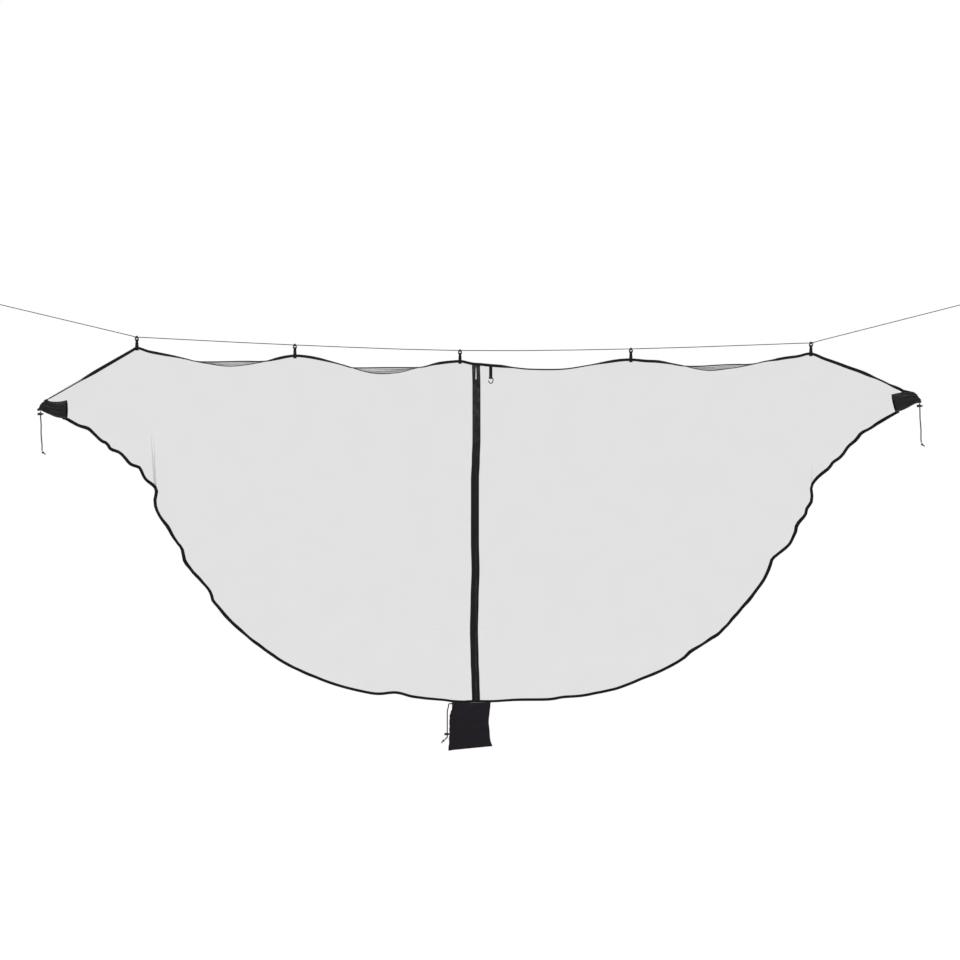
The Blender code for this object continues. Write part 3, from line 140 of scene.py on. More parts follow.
RIGHT_HEM = (
    (1.672, -0.2315), (1.656, -0.240), (1.600, -0.272), (1.562, -0.297), (1.528, -0.316), (1.508, -0.341),
    (1.480, -0.366), (1.462, -0.391), (1.444, -0.410), (1.421, -0.426), (1.406, -0.448), (1.382, -0.467),
    (1.357, -0.490), (1.339, -0.518), (1.341, -0.547), (1.338, -0.577), (1.322, -0.602), (1.316, -0.625),
    (1.295, -0.650), (1.281, -0.672), (1.277, -0.694), (1.260, -0.730), (1.238, -0.755), (1.212, -0.775),
    (1.189, -0.795), (1.179, -0.829), (1.154, -0.878), (1.113, -0.935), (1.067, -0.989), (0.998, -1.067),
    (0.956, -1.098), (0.914, -1.125), (0.876, -1.149), (0.850, -1.173), (0.781, -1.213), (0.686, -1.253),
    (0.602, -1.286), (0.518, -1.305), (0.457, -1.316), (0.396, -1.320), (0.335, -1.329), (0.213, -1.331),
    (0.130, -1.336), (0.076, -1.3362),
)

# End sleeves. Each ring from the netting to the mouth: its top and bottom, (x, z), and its half depth
LEFT_SLEEVE = (
    ((-1.4980, -0.1900), (-1.4980, -0.2600), 0.021),
    ((-1.5288, -0.1965), (-1.5371, -0.2533), 0.021),
    ((-1.5602, -0.1970), (-1.5720, -0.2373), 0.018),
    ((-1.5737, -0.1908), (-1.5879, -0.2304), 0.018),
    ((-1.5814, -0.1877), (-1.5986, -0.2303), 0.020),
)
RIGHT_SLEEVE = (
    ((1.6452, -0.1680), (1.6612, -0.2358), 0.021),
    ((1.6802, -0.1604), (1.6855, -0.2267), 0.021),
    ((1.7050, -0.1577), (1.7065, -0.2153), 0.019),
    ((1.7252, -0.1596), (1.7259, -0.2050), 0.018),
    ((1.7374, -0.1650), (1.7511, -0.1996), 0.020),
)
SLEEVE_WALL = 0.0016

# Hook tabs, zipper and gear strap
HOOK_BAR = 0.003
HOOK_DROP = 0.012
TAB_WIDTH = 0.0101
TAB_SHANK_WIDTH = 0.0120
TAB_THICKNESS = 0.0012
TAB_TAIL = 0.0097
TAB_PLAY = 0.0008
TAB_SPLIT_RISE = 0.002
TAB_SPLIT_LENGTH = 0.005
TAB_NECK = 0.002
ZIP_X = 0.061
ZIP_HALF = 0.015
ZIP_FOOT_Z = -1.3317
ZIP_TAPE_THICKNESS = 0.0008
COIL_D = 0.0026
COIL_GAP = 0.0003
COIL_PITCH = 0.0021
COIL_WIRE_D = 0.00055
ZIP_TOP_OPEN = 0.0002
ZIP_SLIT = 0.0003
ZIP_INSET = 0.0009
SLIDER_TOP = -0.052
SLIDER_LENGTH = 0.012
WEDGE_OPEN = 0.0016
STOP_LENGTH = 0.004
GEAR_BAR = (0.117, -0.01515, -0.1054)
GEAR_EYE = 0.0024
GEAR_STRAP_WIDTH = 0.0124
GEAR_STRAP_THICKNESS = 0.0011
GEAR_STRAP_LENGTH = 0.047

# Cinch cords, drawcord and sack
CORD_D = 0.0045
CINCH_CORD_LENGTH = 0.150
CINCH_LEAN = 2.4
CINCH_PLAY = 0.0007
CINCH_FOOT_FALL = math.radians(36.9)
CORD_KNOT_D = 0.0085
SACK_X = 0.044
SACK_WIDTH = 0.146
SACK_HEIGHT = 0.166
SACK_TOP = -1.3412
SACK_HALF_THICKNESS = 0.0068
SACK_EDGE_HALF_THICKNESS = 0.0006
SACK_LEFT_EDGE = (
    (-0.003, 0.0), (-0.002, 0.14), (-0.0095, 0.3), (-0.0105, 0.5), (-0.011, 0.77), (-0.013, 1.09),
)
SACK_RIGHT_EDGE = (
    (0.0, 0.0), (-0.0045, 0.25), (-0.0075, 0.44), (-0.0045, 0.63), (-0.0015, 0.85), (0.007, 1.0),
)
CHANNEL_WIDTH = 0.014
CHANNEL_HALF_THICKNESS = 0.0030
CHANNEL_DROP = 0.001
CHANNEL_OVERHANG = 0.001
DRAWCORD_DROP = 0.1256
DRAWCORD_BEND_DROP = 0.028
DRAWCORD_STANDOFF = 0.0155
DRAWCORD_FORWARD = 0.0072
DRAWCORD_TAIL = 0.014
DRAWCORD_BELOW_TOP = 0.004
DRAWCORD_TURN = 0.006
DRAWCORD_TAIL_SAG = 0.0005
HAIR = 0.0003
SEAM_GAP = 0.0008

# How far the zipper's outer edges and the netting beside them drift to the right at each height, (z, drift)
ZIP_DRIFT = (
    (-0.050, 0.0), (-0.131, 0.0016), (-0.341, 0.0017), (-0.417, -0.0008), (-0.493, -0.0040),
    (-0.722, -0.0042), (-0.836, -0.0018), (-0.951, -0.0053), (-1.065, -0.0078), (-1.179, -0.0052),
    (-1.255, -0.0022), (-1.332, 0.0),
)
ZIP_DRIFT_REACH = 0.35

# Detail that the plain model leaves out
NET_MESH_PITCH = 0.0019
NET_DARK = (0.016, 0.016, 0.017, 1.0)
NET_LIGHT = (0.030, 0.030, 0.031, 1.0)
STITCH_PITCH = 0.0032
STITCH_COLOUR = (0.03, 0.03, 0.031, 1.0)
# Colour of the cloudy paler streaks towards the zipper tape's top end
PALE_STREAK_COLOUR = (0.06, 0.06, 0.061, 1.0)
COLUMN_STEP = 0.010
NET_ROWS = 66
HEM_LOOSE = 1.15
HEM_ROLLED = 0.2
HEM_LUMPS = 0.35
HEM_RIPPLE = 0.007
HEM_RIPPLE_PITCH = 0.085
HEM_SAG = 0.0035
HEM_SAG_X = -0.004
HEM_SAG_REACH = 0.036
SMALL_FOLD = 0.0030
SMALL_FOLD_PITCH = 0.11
GATHER_DEPTH = 0.0035
GATHER_REACH = 0.26
GATHERS = 11
PUCKER_DEPTH = 0.0006
PUCKER_PITCH = 0.019
STRIP_PLEATS = 3
STRIP_PLEAT_DEPTH = 0.0012
STRIP_PLEAT_SHARE = 0.30
SLEEVE_SIDES = 120
SLEEVE_CLOTH_THICKNESS = 0.0007
CINCH_WAVE = 0.0008
TAIL_STEPS = (0.0, 0.25, 0.5, 0.75, 1.0)
COIL_STEPS = 12
WIRE_SIDES = 5
KNOT_SIDES = 8
KNOT_STEPS = 14
STOPPER_STEPS = 48
RIDGELINE_SIDES = 10
CORD_SIDES = 12
CORD_STEPS = 30
LOOP_STEPS = 40
LINE_STEPS = 6
TAPE_SHARES = (-1.0, -0.5, 0.0, 0.5, 1.0)
WEB_SHARES = (-0.5, -0.47, -0.2, 0.2, 0.47, 0.5)
ZIP_TAPE_SHARES = (0.0, 0.1, 0.3, 0.5, 0.7, 0.9, 1.0)
ZIP_TAPE_HEAD = (0.0045, 0.003, 0.0015, 0.0)
ZIP_TAPE_ROWS = 160
COIL_REACH = 0.0009
ZIP_TAPE_BACK = 0.0007
ZIP_TAPE_EDGE = 0.00025
ZIP_TAPE_FOOT = 0.004
SACK_COLUMNS = 64
STRIP_ROWS = 20
SLEEVE_PLEATS = 15
SLEEVE_PLEAT_DEPTH = 0.0030
SLEEVE_RUFFLE = {-1: 0.012, 1: 0.007}
# Along a sleeve, as shares of it: the stitched casing, the seam to the netting and the groove at the mouth
CASING_AT, CASING_REACH, CASING_LIFT = 0.86, 0.06, 0.0007
SEAM_AT, SEAM_REACH, SEAM_LIFT = 0.04, 0.03, 0.0006
GROOVE_AT, GROOVE_REACH, GROOVE_DEPTH = 0.95, 0.025, 0.0012
MOUTH_FLARE = 0.0006
MOUTH_SCALLOP = 0.0016
SLEEVE_DRIFT = 0.0010
SLEEVE_INSET = -0.0008

# The hem binding's section: how far out of the netting, as a share of its width, and how far to the back
HEM_PROFILE = (
    (-0.50, -0.0015), (-0.20, -0.0014), (0.20, -0.0012), (0.42, -0.0009), (0.50, 0.0),
    (0.42, 0.0009), (0.20, 0.0012), (-0.20, 0.0014), (-0.50, 0.0015), (-0.47, 0.0),
)

# Camera: where it stands, and the width that its picture shows at the net
CAMERA_DISTANCE = 8.0
PICTURE_WIDTH = 3.6576
PICTURE_CENTRE = (0.0762, -0.4934)
FLOOR_Z = -3.2
FLOOR_REACH = 30.0
FLOOR_COLOUR = (0.35, 0.35, 0.35, 1.0)
FLOOR_GLOW = 0.81
WORLD_LIGHT = 0.55
WHITE = (1.0, 1.0, 1.0, 1.0)
# The lights, all aimed at the net: name, place, width and power
LIGHT_AIM = (0.0, 0.0, -0.6)
LIGHTS = (
    ("key", (-3.2, -5.0, 3.4), 3.5, 190.0),
    ("fill", (4.5, -4.5, 0.8), 3.5, 70.0),
    ("rim", (1.5, 4.5, 3.2), 3.0, 70.0),
)


def lerp(a, b, t):
    return a + (b - a) * t


def smoothstep(low, high, value):
    t = min(max((value - low) / (high - low), 0.0), 1.0)
    return t * t * (3 - 2 * t)


def smooth_path(points, steps):
    """Points on a Catmull-Rom curve through points, steps for each stretch."""
    ends = [points[0] * 2 - points[1], *points, points[-1] * 2 - points[-2]]
    path = []
    for i in range(1, len(ends) - 2):
        p0, p1, p2, p3 = ends[i - 1 : i + 3]
        for k in range(steps):
            t = k / steps
            path.append(
                0.5
                * (
                    p1 * 2
                    + (p2 - p0) * t
                    + (p0 * 2 - p1 * 5 + p2 * 4 - p3) * t * t
                    + (p1 * 3 - p0 - p2 * 3 + p3) * t * t * t
                )
            )
    path.append(points[-1].copy())
    return path


def noise_at(x, y, z):
    """Smooth noise at a place, from about -1 to 1."""
    return noise.noise(Vector((x, y, z)))


def hump(value, middle, reach):
    """A smooth bump of height 1 round middle."""
    return math.exp(-(((value - middle) / reach) ** 2))


# Node materials
def socket_for(tree, value, socket):
    """Links value to a socket if it is another node's output, or sets it as the socket's constant."""
    if isinstance(value, bpy.types.NodeSocket):
        tree.links.new(value, socket)
    else:
        socket.default_value = value


def node(tree, kind, inputs=None, **settings):
    made = tree.nodes.new(kind)
    for name, value in settings.items():
        setattr(made, name, value)
    for name, value in (inputs or {}).items():
        socket_for(tree, value, made.inputs[name])
    return made


def calc(tree, operation, *values):
    """One Math node's output."""
    made = tree.nodes.new("ShaderNodeMath")
    made.operation = operation
    for socket, value in zip(made.inputs, values):
        socket_for(tree, value, socket)
    return made.outputs[0]


def rescale(tree, value, from_low, from_high, to_low, to_high):
    """A smooth change from one range of values to another."""
    limits = {"From Min": from_low, "From Max": from_high, "To Min": to_low, "To Max": to_high}
    inputs = {"Value": value, **limits}
    return node(tree, "ShaderNodeMapRange", inputs, interpolation_type="SMOOTHSTEP").outputs[0]


def blend_colours(tree, share, first, second):
    mix = tree.nodes.new("ShaderNodeMix")
    mix.data_type = "RGBA"
    socket_for(tree, share, mix.inputs[0])
    socket_for(tree, first, mix.inputs[6])
    socket_for(tree, second, mix.inputs[7])
    return mix.outputs[2]


def new_material(name, roughness, specular, metallic=0.0, sheen=0.0):
    """A material whose shader has these constant values, and its node tree and shader."""
    material = bpy.data.materials.new(name)
    material.use_nodes = True
    tree = material.node_tree
    shader = tree.nodes["Principled BSDF"]
    shader.inputs["Roughness"].default_value = roughness
    shader.inputs["Specular IOR Level"].default_value = specular
    shader.inputs["Metallic"].default_value = metallic
    shader.inputs["Sheen Weight"].default_value = sheen
    shader.inputs["Sheen Roughness"].default_value = 0.45
    return material, tree, shader


def flat_coordinates(tree):
    """The cloth's own two coordinates, in metres."""
    split = node(tree, "ShaderNodeSeparateXYZ", {0: node(tree, "ShaderNodeUVMap").outputs[0]})
    return split.outputs[0], split.outputs[1]


def solid_noise(tree, scale, detail=2.0):
    place = node(tree, "ShaderNodeTexCoord").outputs["Object"]
    inputs = {"Vector": place, "Scale": scale, "Detail": detail}
    return node(tree, "ShaderNodeTexNoise", inputs).outputs[0]


def threads(tree, value, pitch):
    """Ridges from 0 to 1 across value, one for each pitch."""
    return calc(tree, "MULTIPLY", calc(tree, "PINGPONG", calc(tree, "DIVIDE", value, pitch), 0.5), 2.0)


def bump(tree, shader, height, distance, strength=1.0):
    inputs = {"Height": height, "Distance": distance, "Strength": strength}
    normal = node(tree, "ShaderNodeBump", inputs).outputs[0]
    tree.links.new(normal, shader.inputs["Normal"])


def netting_material(name, hole, thread):
    """Fine diamond mesh. hole and thread are how much each hides of what is behind it."""
    material, tree, shader = new_material(name, 0.9, 0.05)
    u, v = flat_coordinates(tree)
    one = threads(tree, calc(tree, "ADD", u, v), NET_MESH_PITCH)
    other = threads(tree, calc(tree, "SUBTRACT", u, v), NET_MESH_PITCH)
    mesh = rescale(tree, calc(tree, "MAXIMUM", one, other), 0.55, 0.95, 0.0, 1.0)
    cloudy = rescale(tree, solid_noise(tree, 9.0), 0.3, 0.7, 0.975, 1.025)
    alpha = calc(tree, "MULTIPLY", rescale(tree, mesh, 0.0, 1.0, hole, thread), cloudy)
    tree.links.new(alpha, shader.inputs["Alpha"])
    tree.links.new(blend_colours(tree, mesh, NET_DARK, NET_LIGHT), shader.inputs["Base Color"])
    return material


def woven_material(name, dark, light, pitch, roughness, sheen, stitch_lines=(), cross_lines=(), paler_to=0.0):
    """Woven tape or cloth, with rows of stitches along it at stitch_lines and across it at cross_lines.

    paler_to is how far from its first end a tape turns paler in cloudy streaks.
    """
    material, tree, shader = new_material(name, roughness, 0.12, sheen=sheen)
    u, v = flat_coordinates(tree)
    warp, weft = threads(tree, u, pitch), threads(tree, v, pitch * 0.8)
    across = calc(tree, "MULTIPLY", warp, weft)
    cloudy = rescale(tree, solid_noise(tree, 60.0, 4.0), 0.25, 0.75, 0.0, 1.0)
    share = calc(tree, "ADD", calc(tree, "MULTIPLY", across, 0.6), calc(tree, "MULTIPLY", cloudy, 0.4))
    colour = blend_colours(tree, share, (*dark, 1.0), (*light, 1.0))
    # Cloudy paler streaks from the tape's first end, fading out by paler_to along it
    if paler_to:
        streaks = calc(tree, "MULTIPLY", rescale(tree, u, paler_to * 0.2, paler_to, 1.0, 0.0), cloudy)
        colour = blend_colours(tree, streaks, colour, PALE_STREAK_COLOUR)
    height = across
    lines = [(line, v, u) for line in stitch_lines] + [(line, u, v) for line in cross_lines]
    for line, place, along in lines:
        apart = calc(tree, "ABSOLUTE", calc(tree, "SUBTRACT", place, line))
        near = rescale(tree, apart, 0.0003, 0.0006, 1.0, 0.0)
        dash = rescale(tree, threads(tree, along, STITCH_PITCH), 0.25, 0.4, 0.0, 1.0)
        stitch = calc(tree, "MULTIPLY", near, dash)
        height = calc(tree, "ADD", height, calc(tree, "MULTIPLY", stitch, 1.5))
        colour = blend_colours(tree, calc(tree, "MULTIPLY", stitch, 0.5), colour, STITCH_COLOUR)
    tree.links.new(colour, shader.inputs["Base Color"])
    rough = rescale(tree, cloudy, 0.0, 1.0, roughness - 0.08, roughness + 0.06)
    tree.links.new(rough, shader.inputs["Roughness"])
    bump(tree, shader, height, 0.0002)
    return material


def braided_material(name, dark, light, diameter):
    """Round braided cord: strands that cross in both directions."""
    material, tree, shader = new_material(name, 0.75, 0.12, sheen=0.1)
    u, v = flat_coordinates(tree)
    strand = math.pi * diameter / 6
    one = threads(tree, calc(tree, "ADD", u, v), strand)
    other = threads(tree, calc(tree, "SUBTRACT", u, v), strand)
    braid = calc(tree, "MAXIMUM", one, other)
    tree.links.new(blend_colours(tree, braid, (*dark, 1.0), (*light, 1.0)), shader.inputs["Base Color"])
    tree.links.new(rescale(tree, braid, 0.0, 1.0, 0.85, 0.68), shader.inputs["Roughness"])
    bump(tree, shader, braid, diameter * 0.12)
    return material


def moulded_material(name, dark, light, roughness, grain):
    """Moulded plastic: a fine grain, and edges rubbed a little paler and smoother."""
    material, tree, shader = new_material(name, roughness, 0.35)
    fine = solid_noise(tree, grain, 3.0)
    worn = rescale(tree, node(tree, "ShaderNodeNewGeometry").outputs["Pointiness"], 0.52, 0.62, 0.0, 1.0)
    share = calc(tree, "ADD", calc(tree, "MULTIPLY", worn, 0.6), calc(tree, "MULTIPLY", fine, 0.4))
    tree.links.new(blend_colours(tree, share, (*dark, 1.0), (*light, 1.0)), shader.inputs["Base Color"])
    rough = rescale(tree, fine, 0.3, 0.7, roughness - 0.06, roughness + 0.08)
    tree.links.new(rough, shader.inputs["Roughness"])
    bump(tree, shader, fine, 0.00006)
    return material


def coated_metal_material(name, coat, bare, roughness, metallic):
    """Metal with a dark coat that is worn towards the bare metal on its edges."""
    material, tree, shader = new_material(name, roughness, 0.25, metallic)
    worn = rescale(tree, node(tree, "ShaderNodeNewGeometry").outputs["Pointiness"], 0.53, 0.60, 0.0, 1.0)
    patchy = rescale(tree, solid_noise(tree, 900.0, 4.0), 0.4, 0.65, 0.0, 1.0)
    share = calc(tree, "MULTIPLY", worn, patchy)
    tree.links.new(blend_colours(tree, share, (*coat, 1.0), (*bare, 1.0)), shader.inputs["Base Color"])
    rough = rescale(tree, solid_noise(tree, 400.0, 3.0), 0.3, 0.7, roughness - 0.07, roughness + 0.1)
    tree.links.new(rough, shader.inputs["Roughness"])
    bump(tree, shader, patchy, 0.00003)
    return material


NETTING = netting_material("netting_fine", 0.090, 0.188)
PLEATED_NETTING = netting_material("netting_pleated", 0.30, 0.50)
TAPE = woven_material("ridge_tape_webbing", (0.007, 0.007, 0.007), (0.016, 0.016, 0.017), 0.0009, 0.86, 0.15,
                      (-0.0037, 0.0037))
HEM_BINDING = woven_material("hem_binding", (0.006, 0.006, 0.006), (0.014, 0.014, 0.015), 0.0009, 0.86, 0.15,
                             (-0.0031,))
TAB_WEBBING = woven_material("tab_webbing", (0.008, 0.008, 0.008), (0.019, 0.019, 0.020), 0.0011, 0.84, 0.15)
# The zipper tape turns paler in cloudy streaks towards its top end
ZIP_TAPE = woven_material("zipper_tape_weave", (0.009, 0.009, 0.009), (0.020, 0.020, 0.021), 0.0008, 0.84,
                          0.15, (0.0035,), paler_to=0.45)
SLEEVE_CLOTH = woven_material("sleeve_taffeta", (0.003, 0.003, 0.003), (0.009, 0.009, 0.010), 0.0005, 0.42,
                              0.5)
SACK_CLOTH = woven_material("sack_taffeta", (0.007, 0.005, 0.008), (0.014, 0.011, 0.017), 0.0005, 0.62, 0.25)
RIDGE_CORD = braided_material("ridgeline_braid", (0.008, 0.008, 0.008), (0.020, 0.020, 0.020), RIDGELINE_D)
THIN_CORD = braided_material("drawcord_braid", (0.008, 0.008, 0.008), (0.020, 0.020, 0.021), CORD_D)
PLASTIC = moulded_material("moulded_black_plastic", (0.006, 0.006, 0.007), (0.015, 0.015, 0.016), 0.46,
                           1500.0)
NYLON_COIL = moulded_material("nylon_coil", (0.014, 0.014, 0.015), (0.030, 0.030, 0.031), 0.34, 2200.0)
COATED_METAL = coated_metal_material("black_coated_metal", (0.007, 0.007, 0.008), (0.045, 0.045, 0.047),
                                     0.5, 0.0)
SPRING_STEEL = coated_metal_material("bare_spring_steel", (0.42, 0.42, 0.43), (0.60, 0.60, 0.60), 0.3, 1.0)


# Mesh builders
def add_piece(name, mesh, material, body="net"):
    piece = bpy.data.objects.new(name, mesh)
    bpy.context.scene.collection.objects.link(piece)
    mesh.materials.append(material)
    mesh.shade_smooth()
    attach(piece, body)
    return piece


def lay_flat(mesh, corners):
    """Gives each corner of the mesh's faces its cloth coordinates."""
    layer = mesh.uv_layers.new(name="UVMap")
    for loop, place in zip(layer.data, corners):
        loop.uv = place


def grid_mesh(name, rows, flat, closed=False):
    """A mesh through rows of points. flat has each point's two cloth coordinates, in matching rows."""
    columns = len(rows[0])
    width = columns if closed else columns - 1
    mesh = bpy.data.meshes.new(name)
    faces = []
    corners = []
    for i in range(len(rows) - 1):
        for j in range(width):
            k = (j + 1) % columns
            faces.append((i * columns + j, i * columns + k, (i + 1) * columns + k, (i + 1) * columns + j))
            corners += [flat[i][j], flat[i][j + 1], flat[i + 1][j + 1], flat[i + 1][j]]
    mesh.from_pydata([point for row in rows for point in row], [], faces)
    lay_flat(mesh, corners)
    return mesh


def measured_flat(rows, closed=False):
    """Cloth coordinates from the rows themselves: along them all, and across each from its middle."""
    middle = [row[len(row) // 2] for row in rows]
    along = [0.0]
    for a, b in zip(middle, middle[1:]):
        along.append(along[-1] + (b - a).length)
    flat = []
    for u, row in zip(along, rows):
        around = [*row, row[0]] if closed else row
        across = [0.0]
        for a, b in zip(around, around[1:]):
            across.append(across[-1] + (b - a).length)
        flat.append([(u, v - across[-1] / 2) for v in across])
    return flat


def cloth(name, rows, thickness, material, body="net", closed=False):
    """A thin woven piece through rows of points."""
    piece = add_piece(name, grid_mesh(name, rows, measured_flat(rows, closed), closed), material, body)
    wall = piece.modifiers.new("wall", "SOLIDIFY")
    wall.thickness = thickness
    wall.offset = 0.0
    return piece


def tube_rows(path, diameter, sides, closed=False):
    """Rings round a path, each turned as little as possible from the one before."""
    count = len(path)
    rows = []
    side = None
    for i, place in enumerate(path):
        if closed:
            along = (path[(i + 1) % count] - path[i - 1]).normalized()
        else:
            along = (path[min(i + 1, count - 1)] - path[max(i - 1, 0)]).normalized()
        if side is None:
            side = along.orthogonal().normalized()
        side = (side - along * side.dot(along)).normalized()
        other = along.cross(side)
        ring = []
        for k in range(sides):
            a = math.tau * k / sides
            ring.append(place + (side * math.cos(a) + other * math.sin(a)) * (diameter / 2))
        rows.append(ring)
    if closed:
        rows.append([point.copy() for point in rows[0]])
    return rows


def finish_mesh(bm, mesh):
    """Turns all faces outwards and writes them to the mesh."""
    bmesh.ops.recalc_face_normals(bm, faces=bm.faces)
    bm.to_mesh(mesh)
    bm.free()


def cap_ends(mesh, sides, rings):
    """Closes a tube's two ends with one face each."""
    bm = bmesh.new()
    bm.from_mesh(mesh)
    bm.verts.ensure_lookup_table()
    for first in (0, (rings - 1) * sides):
        bm.faces.new([bm.verts[first + k] for k in range(sides)])
    finish_mesh(bm, mesh)


# Camera, floor, backdrop and light
def white_for_camera(name, colour, glow):
    """A pale surface that the camera and reflections see as white, and that still takes shadows."""
    material = bpy.data.materials.new(name)
    material.use_nodes = True
    tree = material.node_tree
    shader = tree.nodes["Principled BSDF"]
    shader.inputs["Base Color"].default_value = colour
    shader.inputs["Roughness"].default_value = 0.9
    shader.inputs["Specular IOR Level"].default_value = 0.0
    light = node(tree, "ShaderNodeEmission", {"Color": WHITE, "Strength": glow})
    both = node(tree, "ShaderNodeAddShader", {0: shader.outputs[0], 1: light.outputs[0]})
    inputs = {0: seen_directly(tree), 1: shader.outputs[0], 2: both.outputs[0]}
    mix = node(tree, "ShaderNodeMixShader", inputs)
    tree.links.new(mix.outputs[0], tree.nodes["Material Output"].inputs["Surface"])
    return material


def seen_directly(tree):
    """1 for rays from the camera and for what metal or glass shows, 0 for light on the object."""
    path = node(tree, "ShaderNodeLightPath")
    seen = calc(tree, "ADD", path.outputs["Is Camera Ray"], path.outputs["Is Glossy Ray"])
    seen = calc(tree, "ADD", seen, path.outputs["Is Transmission Ray"])
    return calc(tree, "MINIMUM", seen, 1.0)


def stage_plane(name, corners, material):
    mesh = bpy.data.meshes.new(name)
    mesh.from_pydata(corners, [], [(0, 1, 2, 3)])
    plane = bpy.data.objects.new(name, mesh)
    bpy.context.scene.collection.objects.link(plane)
    mesh.materials.append(material)


def area_light(name, place, target, size, power):
    light = bpy.data.lights.new(name, "AREA")
    light.shape = "SQUARE"
    light.size = size
    light.energy = power
    lamp = bpy.data.objects.new(name, light)
    lamp.location = place
    lamp.rotation_euler = (Vector(target) - Vector(place)).to_track_quat("-Z", "Y").to_euler()
    bpy.context.scene.collection.objects.link(lamp)


def make_stage():
    scene = bpy.context.scene
    camera = bpy.data.objects.new("camera", bpy.data.cameras.new("camera"))
    camera.location = (PICTURE_CENTRE[0], -CAMERA_DISTANCE, PICTURE_CENTRE[1])
    camera.rotation_euler = (math.radians(90), 0.0, 0.0)
    camera.data.lens = camera.data.sensor_width * CAMERA_DISTANCE / PICTURE_WIDTH
    camera.data.clip_end = 200.0
    scene.collection.objects.link(camera)
    scene.camera = camera
    floor = white_for_camera("pale_floor", FLOOR_COLOUR, FLOOR_GLOW)
    corners = [(x * FLOOR_REACH, y * FLOOR_REACH, FLOOR_Z) for x, y in ((-1, -1), (1, -1), (1, 1), (-1, 1))]
    stage_plane("floor", corners, floor)
    world = bpy.data.worlds.new("studio")
    world.use_nodes = True
    tree = world.node_tree
    sky = tree.nodes["Background"]
    sky.inputs["Color"].default_value = WHITE
    strength = rescale(tree, seen_directly(tree), 0.0, 1.0, WORLD_LIGHT, 1.0)
    tree.links.new(strength, sky.inputs["Strength"])
    scene.world = world
    for name, place, size, power in LIGHTS:
        area_light(name, place, LIGHT_AIM, size, power)
    scene.view_settings.view_transform = "Standard"


# Ridge tapes and hem: the lines that everything hangs on
def hook_positions():
    xs = [-sum(HOOK_SPANS[: HOOK_RISES.index(0.0)])]
    for span in HOOK_SPANS:
        xs.append(xs[-1] + span)
    return [Vector((x, 0.0, rise)) for x, rise in zip(xs, HOOK_RISES)]


HOOKS = hook_positions()
ZIP_LEFT_X = ZIP_X - ZIP_HALF
ZIP_RIGHT_X = ZIP_X + ZIP_HALF
LEFT_TAPE_X = HOOKS[0].x - LEFT_TAPE_RUN
RIGHT_TAPE_X = HOOKS[-1].x + RIGHT_TAPE_RUN
TAPE_KNOTS = (
    [(LEFT_TAPE_X, HOOKS[0].z - TAB_DROP - LEFT_TAPE_DROP)]
    + [(hook.x, hook.z - TAB_DROP) for hook in HOOKS]
    + [(RIGHT_TAPE_X, HOOKS[-1].z - TAB_DROP - RIGHT_TAPE_DROP)]
)


def ridge_span(x):
    """The span that holds x, and how far along it x is, from 0 to 1."""
    for i, (start, end) in enumerate(zip(TAPE_KNOTS, TAPE_KNOTS[1:])):
        if x <= end[0] or i == len(TAPE_KNOTS) - 2:
            return i, min(max((x - start[0]) / (end[0] - start[0]), 0.0), 1.0)


def ridge_line(spans):
    """The smooth line of a ridge tape from its left end over each hook to its right end."""
    points = [*LEFT_TAPE_TAIL, TAPE_KNOTS[0]]
    for span, knot in zip(spans, TAPE_KNOTS[1:]):
        points += [*span, knot]
    return smooth_path([Vector((x, 0.0, z)) for x, z in [*points, *RIGHT_TAPE_TAIL]], LINE_STEPS)


RIDGE_LINES = {-1: ridge_line(FRONT_RIDGE), 1: ridge_line(BACK_RIDGE)}


@functools.lru_cache(maxsize=None)
def tape_height(x, side):
    line = RIDGE_LINES[side]
    for a, b in zip(line, line[1:]):
        if x <= b.x:
            return lerp(a.z, b.z, (x - a.x) / (b.x - a.x))
    return line[-1].z


def tape_turn(x):
    """How far the tapes are turned about their length at x."""
    i, u = ridge_span(x)
    begins, full, still_full, ends, angle = TAPE_TWISTS[i]
    return math.radians(angle) * smoothstep(begins, full, u) * (1 - smoothstep(still_full, ends, u))


def tape_centre(x, side):
    """A ridge tape's middle line at x. side is -1 for the front tape and 1 for the back one."""
    i, u = ridge_span(x)
    past_left = smoothstep(LEFT_TAPE_X, HOOKS[0].x, x)
    past_right = smoothstep(RIGHT_TAPE_X, HOOKS[-1].x, x)
    gap = lerp(END_HALF_GAP, TAPE_HALF_GAP, min(past_left, past_right))
    spread = LENS_SPREAD if 0 < i < len(TAPE_KNOTS) - 2 else END_SPREAD
    apart = gap + spread * math.sin(math.pi * u) + TAPE_WIDTH / 2 * math.sin(tape_turn(x))
    return Vector((x, side * apart, tape_height(x, side)))


def tape_down(x, side):
    """The direction across a ridge tape, from its upper edge to its lower one."""
    turn = tape_turn(x)
    step = 0.002
    along = (tape_centre(x + step, side) - tape_centre(x - step, side)).normalized()
    down = Vector((0.0, side * math.sin(turn), -math.cos(turn)))
    return (down - along * down.dot(along)).normalized()


def tape_edge(x, side, share):
    """A point across a ridge tape: share is -1 at its upper edge and 1 at its lower one."""
    return tape_centre(x, side) + tape_down(x, side) * (TAPE_WIDTH / 2 * share)


def sleeve_rings(side):
    """(top, bottom, half depth) of each ring of a sleeve. side is -1 on the left and 1 on the right."""
    rings = []
    for (top_x, top_z), (bottom_x, bottom_z), depth in LEFT_SLEEVE if side < 0 else RIGHT_SLEEVE:
        rings.append((Vector((top_x, 0.0, top_z)), Vector((bottom_x, 0.0, bottom_z)), depth))
    return rings


def sleeve_corners(side):
    """The top and bottom of the netting's edge where it meets a sleeve."""
    top, bottom, _ = sleeve_rings(side)[0]
    return top, bottom


